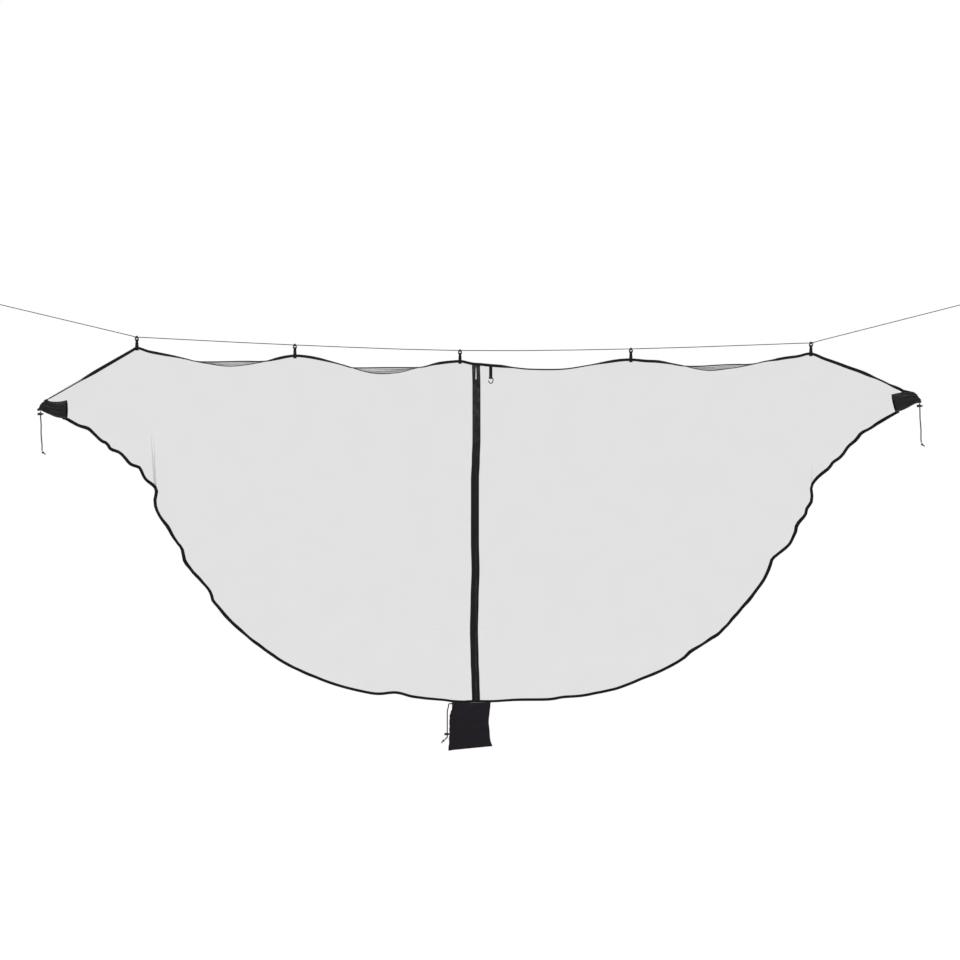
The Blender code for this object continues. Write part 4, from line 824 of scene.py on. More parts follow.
def hem_curve(places):
    """A hem half as (key, point) pairs, its key a mean of its share of the length and of the way along X."""
    path = smooth_path([Vector((x, 0.0, z)) for x, z in places], LINE_STEPS)
    lengths = [0.0]
    for a, b in zip(path, path[1:]):
        lengths.append(lengths[-1] + (b - a).length)
    keyed = []
    for length, point in zip(lengths, path):
        along = (point.x - path[0].x) / (path[-1].x - path[0].x)
        keyed.append(((length / lengths[-1] + along) / 2, point, length))
    return keyed


CORNERS = {-1: sleeve_corners(-1), 1: sleeve_corners(1)}
HEM_CURVES = {-1: hem_curve(LEFT_HEM), 1: hem_curve(RIGHT_HEM)}


def hem_point(x):
    """The hem's middle line below the ridge station x."""
    if ZIP_LEFT_X < x < ZIP_RIGHT_X:
        return Vector((x, 0.0, HEM_Z))
    side = -1 if x <= ZIP_LEFT_X else 1
    start, end = (LEFT_TAPE_X, ZIP_LEFT_X) if side < 0 else (RIGHT_TAPE_X, ZIP_RIGHT_X)
    key = (x - start) / (end - start)
    for (k0, p0, l0), (k1, p1, l1) in zip(HEM_CURVES[side], HEM_CURVES[side][1:]):
        if key <= k1:
            t = min(max((key - k0) / (k1 - k0), 0.0), 1.0)
            place = lerp(p0, p1, t)
            place.y = hem_ripple(side, lerp(l0, l1, t), HEM_CURVES[side][-1][2])
            return place
    return HEM_CURVES[side][-1][1].copy()


def hem_ripple(side, length, whole):
    """How far the hem waves in and out of the picture, length along it from the sleeve."""
    drift = 1.6 * noise_at(length * 3.0, side * 7.0, 1.3)
    wave = math.sin(math.tau * (length / HEM_RIPPLE_PITCH + drift))
    size = 0.55 + 0.45 * noise_at(length * 5.0, side * 3.0, 8.1)
    slope = smoothstep(0.0, 0.10, length) * smoothstep(whole, whole - 0.15, length)
    quiet = lerp(1.0, 0.45, smoothstep(0.55 * whole, 0.75 * whole, length))
    return HEM_RIPPLE * wave * size * slope * quiet


# Netting
def zip_drift(z):
    """How far the zipper's outer edges drift to the right at this height."""
    for (z0, drift0), (z1, drift1) in zip(ZIP_DRIFT, ZIP_DRIFT[1:]):
        if z >= z1:
            return lerp(drift0, drift1, smoothstep(z0, z1, z))
    return ZIP_DRIFT[-1][1]


def sleeve_top_seam(side, face):
    """The netting's edge from the ridge tape's end along the sleeve's top to its first ring."""
    tape_x = LEFT_TAPE_X if side < 0 else RIGHT_TAPE_X
    tops = [ring[0] for ring in sleeve_rings(side)]
    seam = [tape_edge(tape_x, face, 0.8)]
    for top in smooth_path(tops, LINE_STEPS)[::-1]:
        if side * top.x < side * tape_x - 0.004:
            seam.append(Vector((top.x, face * HEM_HALF_GAP, top.z - 0.001)))
    return seam


SLEEVE_TOP_SEAMS = {(side, face): sleeve_top_seam(side, face) for side in (-1, 1) for face in (-1, 1)}


def end_rib(side, face, v):
    """The netting's edge from the ridge tape round a sleeve's corner. face is -1 in front and 1 behind."""
    corner, bottom = CORNERS[side]
    if v < END_TURN:
        seam = SLEEVE_TOP_SEAMS[side, face]
        place = v / END_TURN * (len(seam) - 1)
        i = min(int(place), len(seam) - 2)
        return lerp(seam[i], seam[i + 1], place - i)
    t = (v - END_TURN) / (1 - END_TURN)
    depth = HEM_HALF_GAP + (sleeve_rings(side)[0][2] - HEM_HALF_GAP) * math.sin(math.pi * t)
    share = (1 - math.cos(math.pi * t)) / 2
    place = lerp(corner, bottom, share)
    return Vector((place.x, face * depth, place.z))


def straight_rib(x, face, v):
    top = tape_edge(x, face, 0.8)
    bottom = hem_point(x)
    bottom.y += face * HEM_HALF_GAP
    rib = lerp(top, bottom, v)
    rib.y = lerp(top.y, face * HEM_HALF_GAP, v) + (bottom.y - face * HEM_HALF_GAP) * v**5
    return rib


def net_point(x, face, v):
    """A point of the netting: x is the rib's place on the ridge and v goes from the ridge to the hem."""
    point = straight_rib(x, face, v)
    for side, end_x in ((-1, LEFT_TAPE_X), (1, RIGHT_TAPE_X)):
        reach = 1 - abs(x - end_x) / LEFT_TAPE_RUN
        if reach > 0:
            point += (end_rib(side, face, v) - straight_rib(end_x, face, v)) * reach**2
    swell = math.sin(math.pi * v) ** lerp(SWELL_AT_RIDGE, SWELL_AT_HEM, v)
    if face < 0:
        if x <= ZIP_LEFT_X:
            across = (x - LEFT_TAPE_X) / (ZIP_LEFT_X - LEFT_TAPE_X)
        else:
            across = (RIGHT_TAPE_X - x) / (RIGHT_TAPE_X - ZIP_RIGHT_X)
        bulge = FRONT_BULGE * max(math.sin(math.pi * across), 0.0) ** 0.8
    else:
        across = (x - LEFT_TAPE_X) / (RIGHT_TAPE_X - LEFT_TAPE_X)
        bulge = BACK_BULGE * max(math.sin(math.pi * across), 0.0) ** 0.7
    edge = max(math.sin(math.pi * across), 0.0) ** 0.5
    fold = FOLD_DEPTH * math.sin(math.tau * x / FOLD_PITCH + face) * lerp(FOLD_AT_RIDGE, 1.0, v)
    point.y += face * ((bulge + fold * edge) * swell + fine_folds(x, face, v) * edge)
    if face < 0:
        point.x += zip_drift(point.z) * max(1 - abs(x - ZIP_X) / ZIP_DRIFT_REACH, 0.0) ** 2
    return point


def fine_folds(x, face, v):
    """Soft narrow folds that hang from the ridge, gathers at the sleeves, and puckers at the tapes' seams."""
    drift = noise_at(x * 2.2, v * 1.1, face * 4.0) * 1.4
    hang = SMALL_FOLD * math.sin(math.tau * (x / SMALL_FOLD_PITCH + drift))
    hang *= (0.5 + 0.5 * noise_at(x * 1.7, v * 0.8, face * 9.0 + 3.0)) * math.sin(math.pi * v)
    near_end = max(1 - (x - LEFT_TAPE_X) / GATHER_REACH, 1 - (RIGHT_TAPE_X - x) / GATHER_REACH, 0.0)
    gathers = GATHER_DEPTH * near_end**1.5 * math.sin(math.tau * GATHERS * v + 2 * drift)
    gathers *= math.sin(math.pi * v)
    seam = max(1 - v / 0.035, 1 - (1 - v) / 0.035, 0.0)
    pucker = PUCKER_DEPTH * seam * math.sin(math.tau * (x / PUCKER_PITCH + drift))
    return hang + gathers + pucker


def columns(start, end):
    count = round((end - start) / COLUMN_STEP)
    return [lerp(start, end, k / count) for k in range(count + 1)]


def rows_down():
    """Shares of the way from the ridge to the hem, closer together near both."""
    steps = range(NET_ROWS + 1)
    return [(1 - math.cos(math.pi * k / NET_ROWS)) / 2 * 0.6 + k / NET_ROWS * 0.4 for k in steps]


def make_netting():
    panels = []
    for name, face, start, end, nodes in (
        ("netting_front_left", -1, LEFT_TAPE_X, ZIP_LEFT_X, "front_net_left"),
        ("netting_front_right", -1, ZIP_RIGHT_X, RIGHT_TAPE_X, "front_net_right"),
        ("netting_back", 1, LEFT_TAPE_X, RIGHT_TAPE_X, "back_net"),
    ):
        rows = [[net_point(x, face, v) for v in rows_down()] for x in columns(start, end)]
        upright = [[(p.x, p.z) for p in row] for row in rows]
        panel = add_piece(name, grid_mesh(name, rows, upright), NETTING)
        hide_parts(nodes)
        panels.append(panel)
    return panels


def strip_point(x, share):
    """A point of the pleated strip between the ridge tapes: share is 0 at the front and 1 at the back."""
    front, back = tape_edge(x, -1, -0.8), tape_edge(x, 1, -0.8)
    point = lerp(front, back, share)
    drift = 0.5 * noise_at(x * 6.0, 2.0, 5.0)
    depth = STRIP_PLEAT_DEPTH + STRIP_PLEAT_SHARE * abs(front.z - back.z)
    depth *= 0.8 + 0.6 * noise_at(x * 9.0, 1.0, share * 2.0)
    point.z -= depth * abs(math.sin(math.pi * STRIP_PLEATS * (share + drift * share * (1 - share))))
    return point


def make_top_strip():
    shares = [k / STRIP_ROWS for k in range(STRIP_ROWS + 1)]
    rows = [[strip_point(x, share) for share in shares] for x in columns(LEFT_TAPE_X, RIGHT_TAPE_X)]
    flat = measured_flat(rows)
    name = "netting_top_strip"
    strip = add_piece(name, grid_mesh(name, rows, flat), PLEATED_NETTING)
    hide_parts("top_net_strip")
    return strip


def make_tapes():
    tapes = []
    xs = columns(LEFT_TAPE_TAIL[0][0] + 0.003, RIGHT_TAPE_TAIL[-1][0] - 0.003)
    for name, side in (("front_ridge_tape", -1), ("back_ridge_tape", 1)):
        rows = []
        for x in xs:
            wave = 0.0004 * noise_at(x * 40.0, side * 2.0, 0.0)
            out = Vector((0.0, wave, 0.0))
            rows.append([tape_edge(x, side, share) + out * share for share in TAPE_SHARES])
        tape = cloth("woven_" + name, rows, TAPE_THICKNESS, TAPE)
        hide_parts(name)
        tapes.append(tape)
    return tapes


def hem_out(x):
    """The direction out of the netting at the hem, square to it."""
    step = 0.006
    along = hem_point(min(x + step, RIGHT_TAPE_X)) - hem_point(max(x - step, LEFT_TAPE_X))
    return Vector((along.z, 0.0, -along.x)).normalized()


def make_hem():
    """A binding folded round the netting's edges, its two halves a little apart at the inner edge."""
    rows = []
    for x in columns(LEFT_TAPE_X, RIGHT_TAPE_X):
        middle, out = hem_point(x), hem_out(x)
        middle.z -= HEM_SAG * math.exp(-(((x - HEM_SAG_X) / HEM_SAG_REACH) ** 4))
        roll = 0.0012 * noise_at(x * 14.0, 0.0, 3.0)
        slope = smoothstep(0.4, 0.9, abs(x - SACK_X))
        lumps = HEM_LUMPS * slope * noise_at(x * 22.0, 6.0, 1.0)
        loose = lerp(1.0, HEM_LOOSE, smoothstep(0.1, 0.2, abs(x - SACK_X)))
        width = HEM_TAPE_WIDTH * (loose + HEM_ROLLED * slope + lumps)
        ring = []
        for share, depth in HEM_PROFILE:
            ring.append(middle + out * (width * share) + Vector((0.0, depth + roll * share * 4, 0.0)))
        rows.append(ring)
    name = "hem_binding"
    mesh = grid_mesh(name, rows, measured_flat(rows, closed=True), closed=True)
    cap_ends(mesh, len(HEM_PROFILE), len(rows))
    hem = add_piece(name, mesh, HEM_BINDING)
    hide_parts("hem_tape")
    return hem


# End sleeves
def make_sleeve(name, side, node_name):
    """A gathered cuff: pleats that grow from the netting to a stitched casing and a ruffled mouth."""
    rings = sleeve_rings(side)
    tops = smooth_path([ring[0] for ring in rings], 8)
    bottoms = smooth_path([ring[1] for ring in rings], 8)
    depths = smooth_path([Vector((ring[2], 0.0, 0.0)) for ring in rings], 8)
    rows = []
    for i, (top, bottom, depth) in enumerate(zip(tops, bottoms, depths)):
        s = i / (len(tops) - 1)
        pleat = SLEEVE_PLEAT_DEPTH * lerp(0.3, 1.0, smoothstep(0.1, 0.6, s))
        casing, seam = hump(s, CASING_AT, CASING_REACH), hump(s, SEAM_AT, SEAM_REACH)
        lift = CASING_LIFT * casing + SEAM_LIFT * seam - GROOVE_DEPTH * hump(s, GROOVE_AT, GROOVE_REACH)
        pleat *= 1 - 0.45 * casing - 0.5 * seam - 0.5 * smoothstep(0.92, 1.0, s)
        centre, up = (top + bottom) / 2, (top - bottom) / 2
        ring = []
        for k in range(SLEEVE_SIDES):
            a = math.tau * k / SLEEVE_SIDES
            way = up * math.cos(a) + Vector((0.0, depth.x * math.sin(a), 0.0))
            drift = noise_at(math.cos(a) * 1.6, math.sin(a) * 1.6, s * 1.4 + side * 5.0)
            fold = pleat * math.sin(SLEEVE_PLEATS * a + 2.6 * drift) + SLEEVE_DRIFT * drift
            flare = MOUTH_FLARE * smoothstep(0.95, 1.0, s) * math.sin(9 * a + 3 * drift)
            out = fold + lift + flare
            under = smoothstep(0.7, 0.92, s) * smoothstep(0.3, 0.8, -math.cos(a))
            ring.append(centre + way + way.normalized() * lerp(out, min(out, SLEEVE_INSET), under))
            ruffle = SLEEVE_RUFFLE[side] * smoothstep(0.82, 1.0, s) * (0.45 - 0.55 * math.cos(a))
            scallop = MOUTH_SCALLOP * smoothstep(0.9, 1.0, s) * math.sin(7 * a + 4 * drift)
            ring[-1].x += side * (ruffle + scallop)
        rows.append(ring)
    sleeve = cloth(name, rows, SLEEVE_CLOTH_THICKNESS, SLEEVE_CLOTH, closed=True)
    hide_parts(node_name)


# Cords, their knots and the ridgeline's loops
def ridgeline_path():
    """Nearly straight between hooks, turning gently over each one."""
    left = HOOKS[0] + Vector((-RIDGELINE_LEFT_RUN, 0.0, RIDGELINE_LEFT_RISE))
    right = HOOKS[-1] + Vector((RIDGELINE_RIGHT_RUN, 0.0, RIDGELINE_RIGHT_RISE))
    points = [left, lerp(left, HOOKS[0], 0.5), lerp(HOOKS[0], left, RIDGELINE_TURN)]
    points += [HOOKS[0], lerp(HOOKS[0], HOOKS[1], RIDGELINE_TURN), *HOOKS[1:-1]]
    points += [lerp(HOOKS[-1], HOOKS[-2], RIDGELINE_TURN), HOOKS[-1]]
    points += [lerp(HOOKS[-1], right, RIDGELINE_TURN), lerp(HOOKS[-1], right, 0.5), right]
    return smooth_path(points, 3)


def wrapped_knot(start, end, radius, turns, wire):
    """Coils of cord round start to end, and the path that its centre follows."""
    along = (end - start).normalized()
    side = along.orthogonal().normalized()
    other = along.cross(side)
    steps = turns * KNOT_STEPS
    path = []
    for k in range(steps + 1):
        a = math.tau * k / KNOT_STEPS
        bulge = radius + 0.0003 * math.sin(math.pi * k / steps)
        place = lerp(start, end, k / steps)
        path.append(place + side * (bulge * math.cos(a)) + other * (bulge * math.sin(a)))
    return tube_rows(path, wire, KNOT_SIDES)


def overhand_knot(centre, direction, wire):
    """A small tight overhand knot as a closed path round centre, with direction through its middle."""
    side = direction.orthogonal().normalized()
    other = direction.cross(side)
    size = CORD_KNOT_D * 0.11
    path = []
    for k in range(STOPPER_STEPS):
        a = math.tau * k / STOPPER_STEPS
        x, y = math.sin(a) + 2 * math.sin(2 * a), math.cos(a) - 2 * math.cos(2 * a)
        lift = direction * (math.sin(3 * a) * size * 2.2)
        path.append(centre + side * (x * size) + other * (y * size) - lift)
    return tube_rows(path, wire, KNOT_SIDES, closed=True)


def joined_tubes(name, tubes):
    """One mesh from several tubes, each a list of rings."""
    points, faces, corners = [], [], []
    for rows in tubes:
        start, sides = len(points), len(rows[0])
        flat = measured_flat(rows, closed=True)
        points += [point for row in rows for point in row]
        for i in range(len(rows) - 1):
            for j in range(sides):
                k = (j + 1) % sides
                a, b = start + i * sides, start + (i + 1) * sides
                faces.append((a + j, a + k, b + k, b + j))
                corners += [flat[i][j], flat[i][j + 1], flat[i + 1][j + 1], flat[i + 1][j]]
        for ring in (0, len(rows) - 1):
            faces.append(tuple(start + ring * sides + k for k in range(sides)))
            corners += flat[ring][:sides]
    mesh = bpy.data.meshes.new(name)
    mesh.from_pydata(points, [], faces)
    lay_flat(mesh, corners)
    bm = bmesh.new()
    bm.from_mesh(mesh)
    finish_mesh(bm, mesh)
    return mesh


def make_ridgeline():
    path = ridgeline_path()
    mesh = joined_tubes("braided_ridgeline", [tube_rows(path, RIDGELINE_D, RIDGELINE_SIDES)])
    line = add_piece("braided_ridgeline", mesh, RIDGE_CORD)
    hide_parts("ridgeline")
    for side, end, inner in (("left", path[0], path[1]), ("right", path[-1], path[-2])):
        out = (end - inner).normalized()
        up = Vector((-out.z, 0.0, out.x)) * (1 if out.x > 0 else -1)
        start = end + out * HAIR
        knot_end = start + out * RIDGELINE_KNOT_LENGTH
        loop = []
        for k in range(LOOP_STEPS):
            a = math.tau * k / LOOP_STEPS
            along = (1 - math.cos(a)) / 2
            width = END_LOOP_WIDTH / 2 * math.sin(a) * lerp(END_LOOP_NECK, 1.0, along)
            lift = Vector((0.0, 0.0012 * math.sin(2 * a), 0.0))
            place = knot_end + out * (END_LOOP_LENGTH * along - RIDGELINE_KNOT_LENGTH * 0.4)
            loop.append(place + up * width + lift)
        root = lerp(knot_end, start, 0.9)
        tail = [root + up * (0.0022 + 0.010 * t * t) - out * (0.016 * t) for t in TAIL_STEPS]
        knot = [
            wrapped_knot(start + out * 0.001, knot_end, RIDGELINE_D * 1.15, 6, RIDGELINE_D),
            tube_rows([start, lerp(start, knot_end, 0.5), knot_end], RIDGELINE_D * 1.6, RIDGELINE_SIDES),
            tube_rows(tail, RIDGELINE_D, KNOT_SIDES),
        ]
        ring = [tube_rows(loop, RIDGELINE_D, RIDGELINE_SIDES, closed=True)]
        for part, tubes in (("knot", knot), ("loop", ring)):
            name = f"ridgeline_end_{part}_{side}"
            piece = add_piece(name, joined_tubes(name, tubes), RIDGE_CORD)
            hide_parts(f"ridgeline_loop_{side}")


def stopper_knot(name, centre, direction, body, node_name):
    tail = [centre, centre + direction * CORD_KNOT_D * 0.9, centre + direction * CORD_KNOT_D * 1.5]
    tubes = [overhand_knot(centre, direction, CORD_D * 0.85), tube_rows(tail, CORD_D, RIDGELINE_SIDES)]
    knot = add_piece(name, joined_tubes(name, tubes), THIN_CORD, body)
    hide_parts(node_name)
    return knot


def make_cinch(side_name, side):
    """The cord that draws a sleeve's mouth shut, hanging from its foot."""
    _, mouth_foot, _ = sleeve_rings(side)[-1]
    start = mouth_foot + Vector((0.0, 0.0, -SLEEVE_WALL / 2 - HAIR - CINCH_PLAY))
    lean = math.radians(CINCH_LEAN)
    along = Vector((math.sin(lean), 0.0, -math.cos(lean)))
    across = Vector((math.cos(lean), 0.0, math.sin(lean)))
    path = []
    for k in range(CORD_STEPS + 1):
        t = k / CORD_STEPS
        free = smoothstep(0.14, 0.4, t) * smoothstep(1.0, 0.85, t)
        wave = CINCH_WAVE * free * math.sin(math.tau * (1.6 * t + 0.2 * side))
        back = CINCH_WAVE * 0.7 * free * math.sin(math.tau * (1.1 * t + 0.1))
        path.append(start + along * (CINCH_CORD_LENGTH * t) + across * wave + Vector((0.0, back, 0.0)))
    name = f"sleeve_cinch_cord_{side_name}"
    cord = add_piece(name, joined_tubes(name, [tube_rows(path, CORD_D, CORD_SIDES)]), THIN_CORD)
    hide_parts(f"cinch_cord_{side_name}")
    foot = Vector((math.cos(CINCH_FOOT_FALL), 0.0, -math.sin(CINCH_FOOT_FALL)))
    centre = start + along * (CINCH_CORD_LENGTH + CORD_KNOT_D * 0.5 + HAIR) + foot * CORD_KNOT_D * 0.35
    knot = stopper_knot(f"cinch_stopper_knot_{side_name}", centre, foot, "net", f"cinch_knot_{side_name}")


# Webbing: the hook tabs and the gear strap
def arc_yz(centre, radius, start, end, count):
    """Points of an arc in the YZ plane, its angles in degrees from +Y towards +Z."""
    points = []
    for k in range(count):
        a = math.radians(lerp(start, end, k / (count - 1)))
        points.append(centre + Vector((0.0, radius * math.cos(a), radius * math.sin(a))))
    return points


def webbing(name, path, widths, thickness, body, node_name):
    """A strip of webbing that follows a path in the YZ plane, its widths along X."""
    rows = []
    for i, (place, width) in enumerate(zip(path, widths)):
        wave = 0.0002 * noise_at(i * 0.7, width * 900.0, place.x * 3.0)
        rows.append([place + Vector((width * share, wave, 0.0)) for share in WEB_SHARES])
    strap = cloth(name, rows, thickness, TAB_WEBBING, body)
    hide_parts(node_name)
    return strap


def make_tabs():
    eye = HOOK_BAR * 0.71 + 2 * HAIR + TAB_THICKNESS / 2
    leg = TAPE_HALF_GAP + TAPE_THICKNESS / 2 + 2 * HAIR + TAB_PLAY + TAB_THICKNESS / 2
    half = TAB_THICKNESS / 2 + HAIR / 2
    for number, hook in enumerate(HOOKS, 1):
        bar = hook - Vector((0.0, 0.0, HOOK_DROP))
        end_z = hook.z - TAB_DROP - TAB_TAIL
        split_z = hook.z - TAB_DROP + TAPE_WIDTH / 2 + TAB_SPLIT_RISE
        neck_z = bar.z - eye - TAB_THICKNESS - TAB_NECK
        side = []
        for y, z in (
            (leg, end_z), (leg, lerp(end_z, split_z, 0.5)), (leg, split_z),
            (lerp(leg, half, 0.5), split_z + TAB_SPLIT_LENGTH * 0.5), (half, split_z + TAB_SPLIT_LENGTH),
            (half, lerp(split_z, neck_z, 0.6)), (half, neck_z),
        ):
            side.append(Vector((hook.x, y, z)))
        front = [Vector((p.x, -p.y, p.z)) for p in side]
        path = front + arc_yz(bar, eye, 230, -50, 19) + side[::-1]
        necks = [smoothstep(neck_z - 0.007, neck_z - 0.001, p.z) for p in path]
        widths = [lerp(TAB_SHANK_WIDTH, TAB_WIDTH, neck) for neck in necks]
        webbing(f"webbing_tab_{number}", path, widths, TAB_THICKNESS, "net", f"hook_tab_{number}")


def make_gear_strap():
    bar = Vector(GEAR_BAR)
    radius = GEAR_EYE + GEAR_STRAP_THICKNESS / 2
    front = radius - GEAR_STRAP_THICKNESS - HAIR
    top = bar.z + GEAR_STRAP_LENGTH
    meeting = math.degrees(math.acos(front / radius))
    path = [Vector((bar.x, bar.y + radius, lerp(top, bar.z, k / 8))) for k in range(8)]
    path += arc_yz(bar, radius, 0, -360 + meeting + 8, 26)
    rise = path[-1].z
    path += [Vector((bar.x, bar.y + front, lerp(rise, top, k / 8))) for k in range(1, 9)]
    widths = [GEAR_STRAP_WIDTH] * len(path)
    webbing("gear_loop_webbing", path, widths, GEAR_STRAP_THICKNESS, "gear_strap", "gear_strap")


# Zipper
def zip_axes():
    """Axes at the zipper's top: X to the right, Y away from the front and Z up along the chain."""
    top = (tape_edge(ZIP_LEFT_X, -1, 1.0) + tape_edge(ZIP_RIGHT_X, -1, 1.0)) / 2
    top += (tape_down(ZIP_LEFT_X, -1) + tape_down(ZIP_RIGHT_X, -1)) / 2 * SEAM_GAP
    bottom = Vector((ZIP_X, -HEM_HALF_GAP, ZIP_FOOT_Z))
    top.x = ZIP_X
    up = (top - bottom).normalized()
    axes = Matrix.Identity(4)
    axes.col[1][:3] = Vector((0.0, up.z, -up.y))
    axes.col[2][:3] = up
    axes.translation = top - up * ZIP_INSET
    return axes, (top - bottom).length


ZIP_AXES, ZIP_CHAIN = zip_axes()
ZIP_LENGTH = ZIP_CHAIN - 2 * ZIP_INSET


def zip_opening(z):
    """How far each coil stands out from its closed place at z, in the zipper's axes."""
    if z >= SLIDER_TOP:
        up = z / SLIDER_TOP
        return lerp(ZIP_TOP_OPEN, WEDGE_OPEN, up) + ZIP_SLIT * math.sin(math.pi * up)
    return WEDGE_OPEN * max(0.0, (z - SLIDER_TOP + SLIDER_LENGTH) / SLIDER_LENGTH)


def coil_path(side):
    """One side's nylon coil: a flattened spiral whose turns reach across to the other side's."""
    top, bottom = -STOP_LENGTH - HAIR, -ZIP_LENGTH + STOP_LENGTH + HAIR
    steps = round((top - bottom) / COIL_PITCH) * COIL_STEPS
    reach = COIL_D / 2 - COIL_WIRE_D / 2
    path = []
    for k in range(steps + 1):
        z = lerp(top, bottom, k / steps)
        a = math.tau * (k / COIL_STEPS + (0.5 if side > 0 else 0.0))
        middle = COIL_GAP / 2 + COIL_D / 2 + zip_opening(z)
        across = middle - (reach + COIL_REACH / 2) * math.cos(a) - COIL_REACH / 2
        path.append(ZIP_AXES @ Vector((side * across, reach * math.sin(a), z)))
    return path


def make_zipper():
    pieces = []
    foot = -ZIP_LENGTH - ZIP_TAPE_FOOT
    steps = range(ZIP_TAPE_ROWS + 1)
    heights = [*ZIP_TAPE_HEAD, *(lerp(-ZIP_INSET, foot, k / ZIP_TAPE_ROWS) for k in steps)]
    for side_name, side in (("left", -1), ("right", 1)):
        name = f"nylon_coil_{side_name}"
        spiral = tube_rows(coil_path(side), COIL_WIRE_D, WIRE_SIDES)
        coil = add_piece(name, joined_tubes(name, [spiral]), NYLON_COIL)
        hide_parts(f"zipper_coil_{side_name}")
        rows = []
        for z in heights:
            near = side * (ZIP_TAPE_EDGE + zip_opening(min(z, 0.0)))
            behind = ZIP_TAPE_BACK + 0.0008 * smoothstep(-0.004, 0.001, z)
            far = side * (ZIP_HALF + 0.0005) + zip_drift((ZIP_AXES @ Vector((0.0, 0.0, z))).z)
            row = []
            for share in ZIP_TAPE_SHARES:
                wave = 0.0005 * share * noise_at(side * 3.0, z * 22.0, share)
                row.append(ZIP_AXES @ Vector((lerp(near, far, share), behind + wave, z)))
            rows.append(row)
        tape = cloth(f"woven_zipper_tape_{side_name}", rows, ZIP_TAPE_THICKNESS, ZIP_TAPE)
        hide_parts(f"zipper_tape_{side_name}")
        pieces += [coil, tape]
    return pieces


# Stuff sack
def make_sack():
    """A flat empty pouch: its mouth and cord casing are on the left, and its top hangs from the hem."""
    left_x, right_x = SACK_X - SACK_WIDTH / 2 + CHANNEL_WIDTH, SACK_X + SACK_WIDTH / 2
    left, right = sack_edge(left_x, SACK_LEFT_EDGE), sack_edge(right_x, SACK_RIGHT_EDGE)
    rows = []
    for i in range(SACK_COLUMNS + 1):
        u = lerp(-CHANNEL_WIDTH / (SACK_WIDTH - CHANNEL_WIDTH), 1.0, i / SACK_COLUMNS)
        ring = []
        for face in (-1, 1):
            order = range(len(left)) if face < 0 else range(len(left) - 1, -1, -1)
            ring += [sack_point(left, right, u, j, face) for j in order]
        rows.append(ring)
    sack = cloth("pouch_with_casing", rows, 0.0006, SACK_CLOTH, "sack", closed=True)
    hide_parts("stuff_sack", "sack_cord_channel")
    return left


def sack_edge(edge_x, places):
    """The smooth line of one of the sack's edges, from its top down."""
    return smooth_path([Vector((edge_x + x, 0.0, SACK_TOP - SACK_HEIGHT * v)) for x, v in places], 12)


def sack_point(left, right, u, j, face):
    v = j / (len(left) - 1)
    place = lerp(left[j], right[j], u)
    if u < 0:
        out = min(-u * (SACK_WIDTH - CHANNEL_WIDTH) / CHANNEL_WIDTH, 1.0)
        gather = math.sin(math.tau * (v * 7.5 + 0.5 * noise_at(v * 9.0, 3.0, 0.0)))
        puff = math.sin(math.pi * min(out, 0.85)) ** 0.6
        depth = lerp(SACK_EDGE_HALF_THICKNESS, CHANNEL_HALF_THICKNESS, puff)
        place.y += face * depth + 0.0016 * gather * out
        place.x += -0.0008 * gather * out
        place.z -= CHANNEL_OVERHANG * out * smoothstep(0.55, 1.0, v)
        return place
    puff = (max(math.sin(math.pi * u), 0.0) * max(math.sin(math.pi * v), 0.0)) ** 0.5
    place.y += face * lerp(SACK_EDGE_HALF_THICKNESS, SACK_HALF_THICKNESS, puff)
    spot = Vector((place.x * 26.0, face * 4.0, place.z * 26.0))
    crease = noise.noise(spot) + 0.5 * noise.noise(spot * 2.3)
    fan = math.sin(math.tau * (v * 7.5) + 2.0 * u) * math.exp(-u * 7.0)
    place.y += (0.0022 * crease + 0.0014 * fan) * min(1.0, 4 * u) * min(1.0, 6 * v, 6 * (1 - v))
    return place


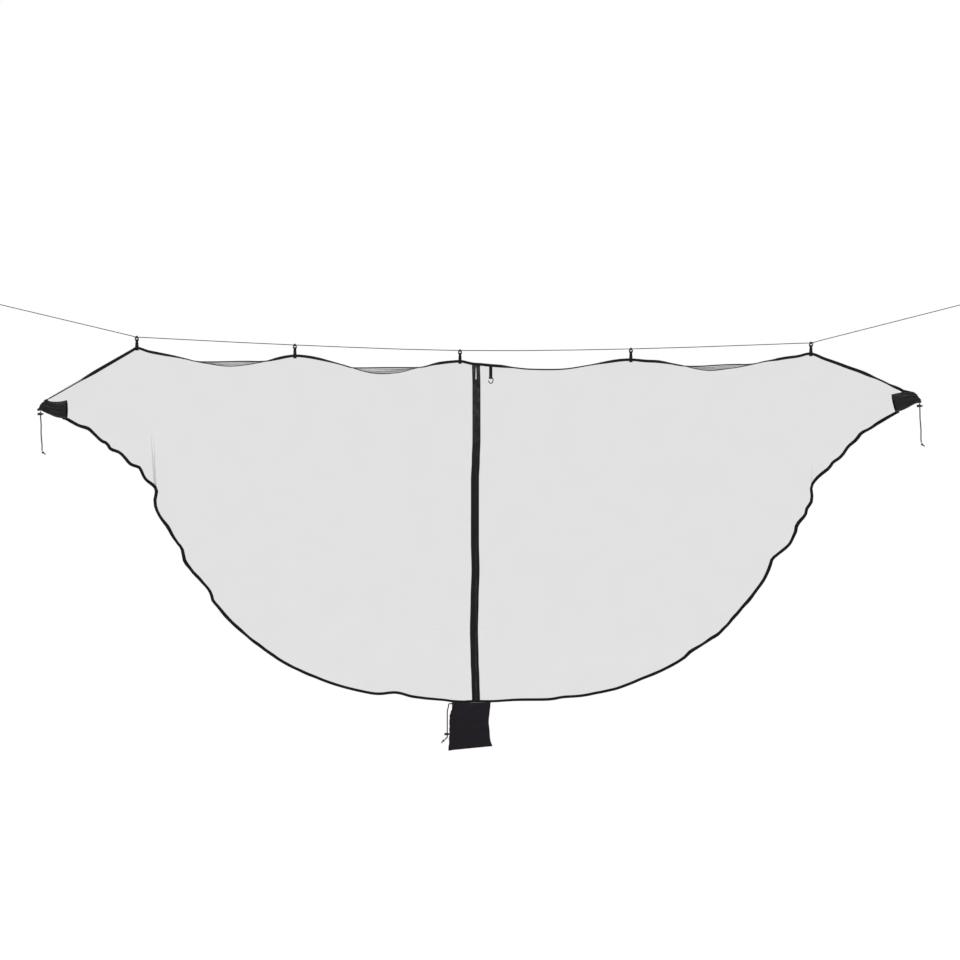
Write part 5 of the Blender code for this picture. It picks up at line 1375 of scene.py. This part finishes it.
def make_drawcord(left):
    start = left[0] + Vector((-3 * HAIR - CHANNEL_WIDTH, 0.0, -CHANNEL_DROP - DRAWCORD_BELOW_TOP))
    lead = start + Vector((-2 * CORD_D, 0.0, 0.0))
    bend = start + Vector((-DRAWCORD_STANDOFF, -DRAWCORD_FORWARD, -DRAWCORD_BEND_DROP))
    foot = start + Vector((-DRAWCORD_STANDOFF, -DRAWCORD_FORWARD, -DRAWCORD_DROP))
    direction = Vector((-1.0, 0.0, -1.0)).normalized()
    tail = foot + direction * DRAWCORD_TAIL
    short = Vector((0.0, 0.0, DRAWCORD_TURN))
    route = [start, lead, lerp(lead, bend, 0.3), lerp(lead, bend, 0.65), bend, bend - short]
    route += [foot + short, foot]
    route += [lerp(foot, tail, 0.45) + Vector((0.0, 0.0, -DRAWCORD_TAIL_SAG)), tail]
    path = smooth_path(route, 4)
    mesh = joined_tubes("sack_cord", [tube_rows(path, CORD_D, CORD_SIDES)])
    cord = add_piece("sack_cord", mesh, THIN_CORD, "sack")
    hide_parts("sack_drawcord")
    centre = tail + direction * (CORD_KNOT_D * 0.6 + HAIR)
    knot = stopper_knot("sack_stopper_knot", centre, direction, "sack", "sack_cord_knot")


# Hard parts: the plain model's own solids with finished surfaces
HARD_PARTS = {
    **{f"ridge_hook_{number}": PLASTIC for number in range(1, 6)},
    **{f"lock_{part}_{side}": PLASTIC for part in ("barrel", "plunger") for side in ("left", "right")},
    **{f"lock_spring_{side}": SPRING_STEEL for side in ("left", "right")},
    "sack_lock_barrel": PLASTIC,
    "sack_lock_plunger": PLASTIC,
    "sack_lock_spring": SPRING_STEEL,
    "gear_hook": PLASTIC,
    **{f"zip_{part}": COATED_METAL for part in ("slider", "pull_front", "pull_back")},
    **{f"zip_{end}_stop": COATED_METAL for end in ("top", "bottom")},
}


def finish_hard_parts():
    for name, material in HARD_PARTS.items():
        part = bpy.data.objects[name]
        part.data.materials.clear()
        part.data.materials.append(material)


def main():
    make_stage()
    make_ridgeline()
    make_cinch("left", -1)
    make_cinch("right", 1)
    left_panel, right_panel, back_panel = make_netting()
    strip = make_top_strip()
    front_tape, back_tape = make_tapes()
    hem = make_hem()
    make_sleeve("gathered_sleeve_left", -1, "end_sleeve_left")
    make_sleeve("gathered_sleeve_right", 1, "end_sleeve_right")
    make_tabs()
    make_gear_strap()
    zipper = make_zipper()
    make_drawcord(make_sack())
    finish_hard_parts()


main()
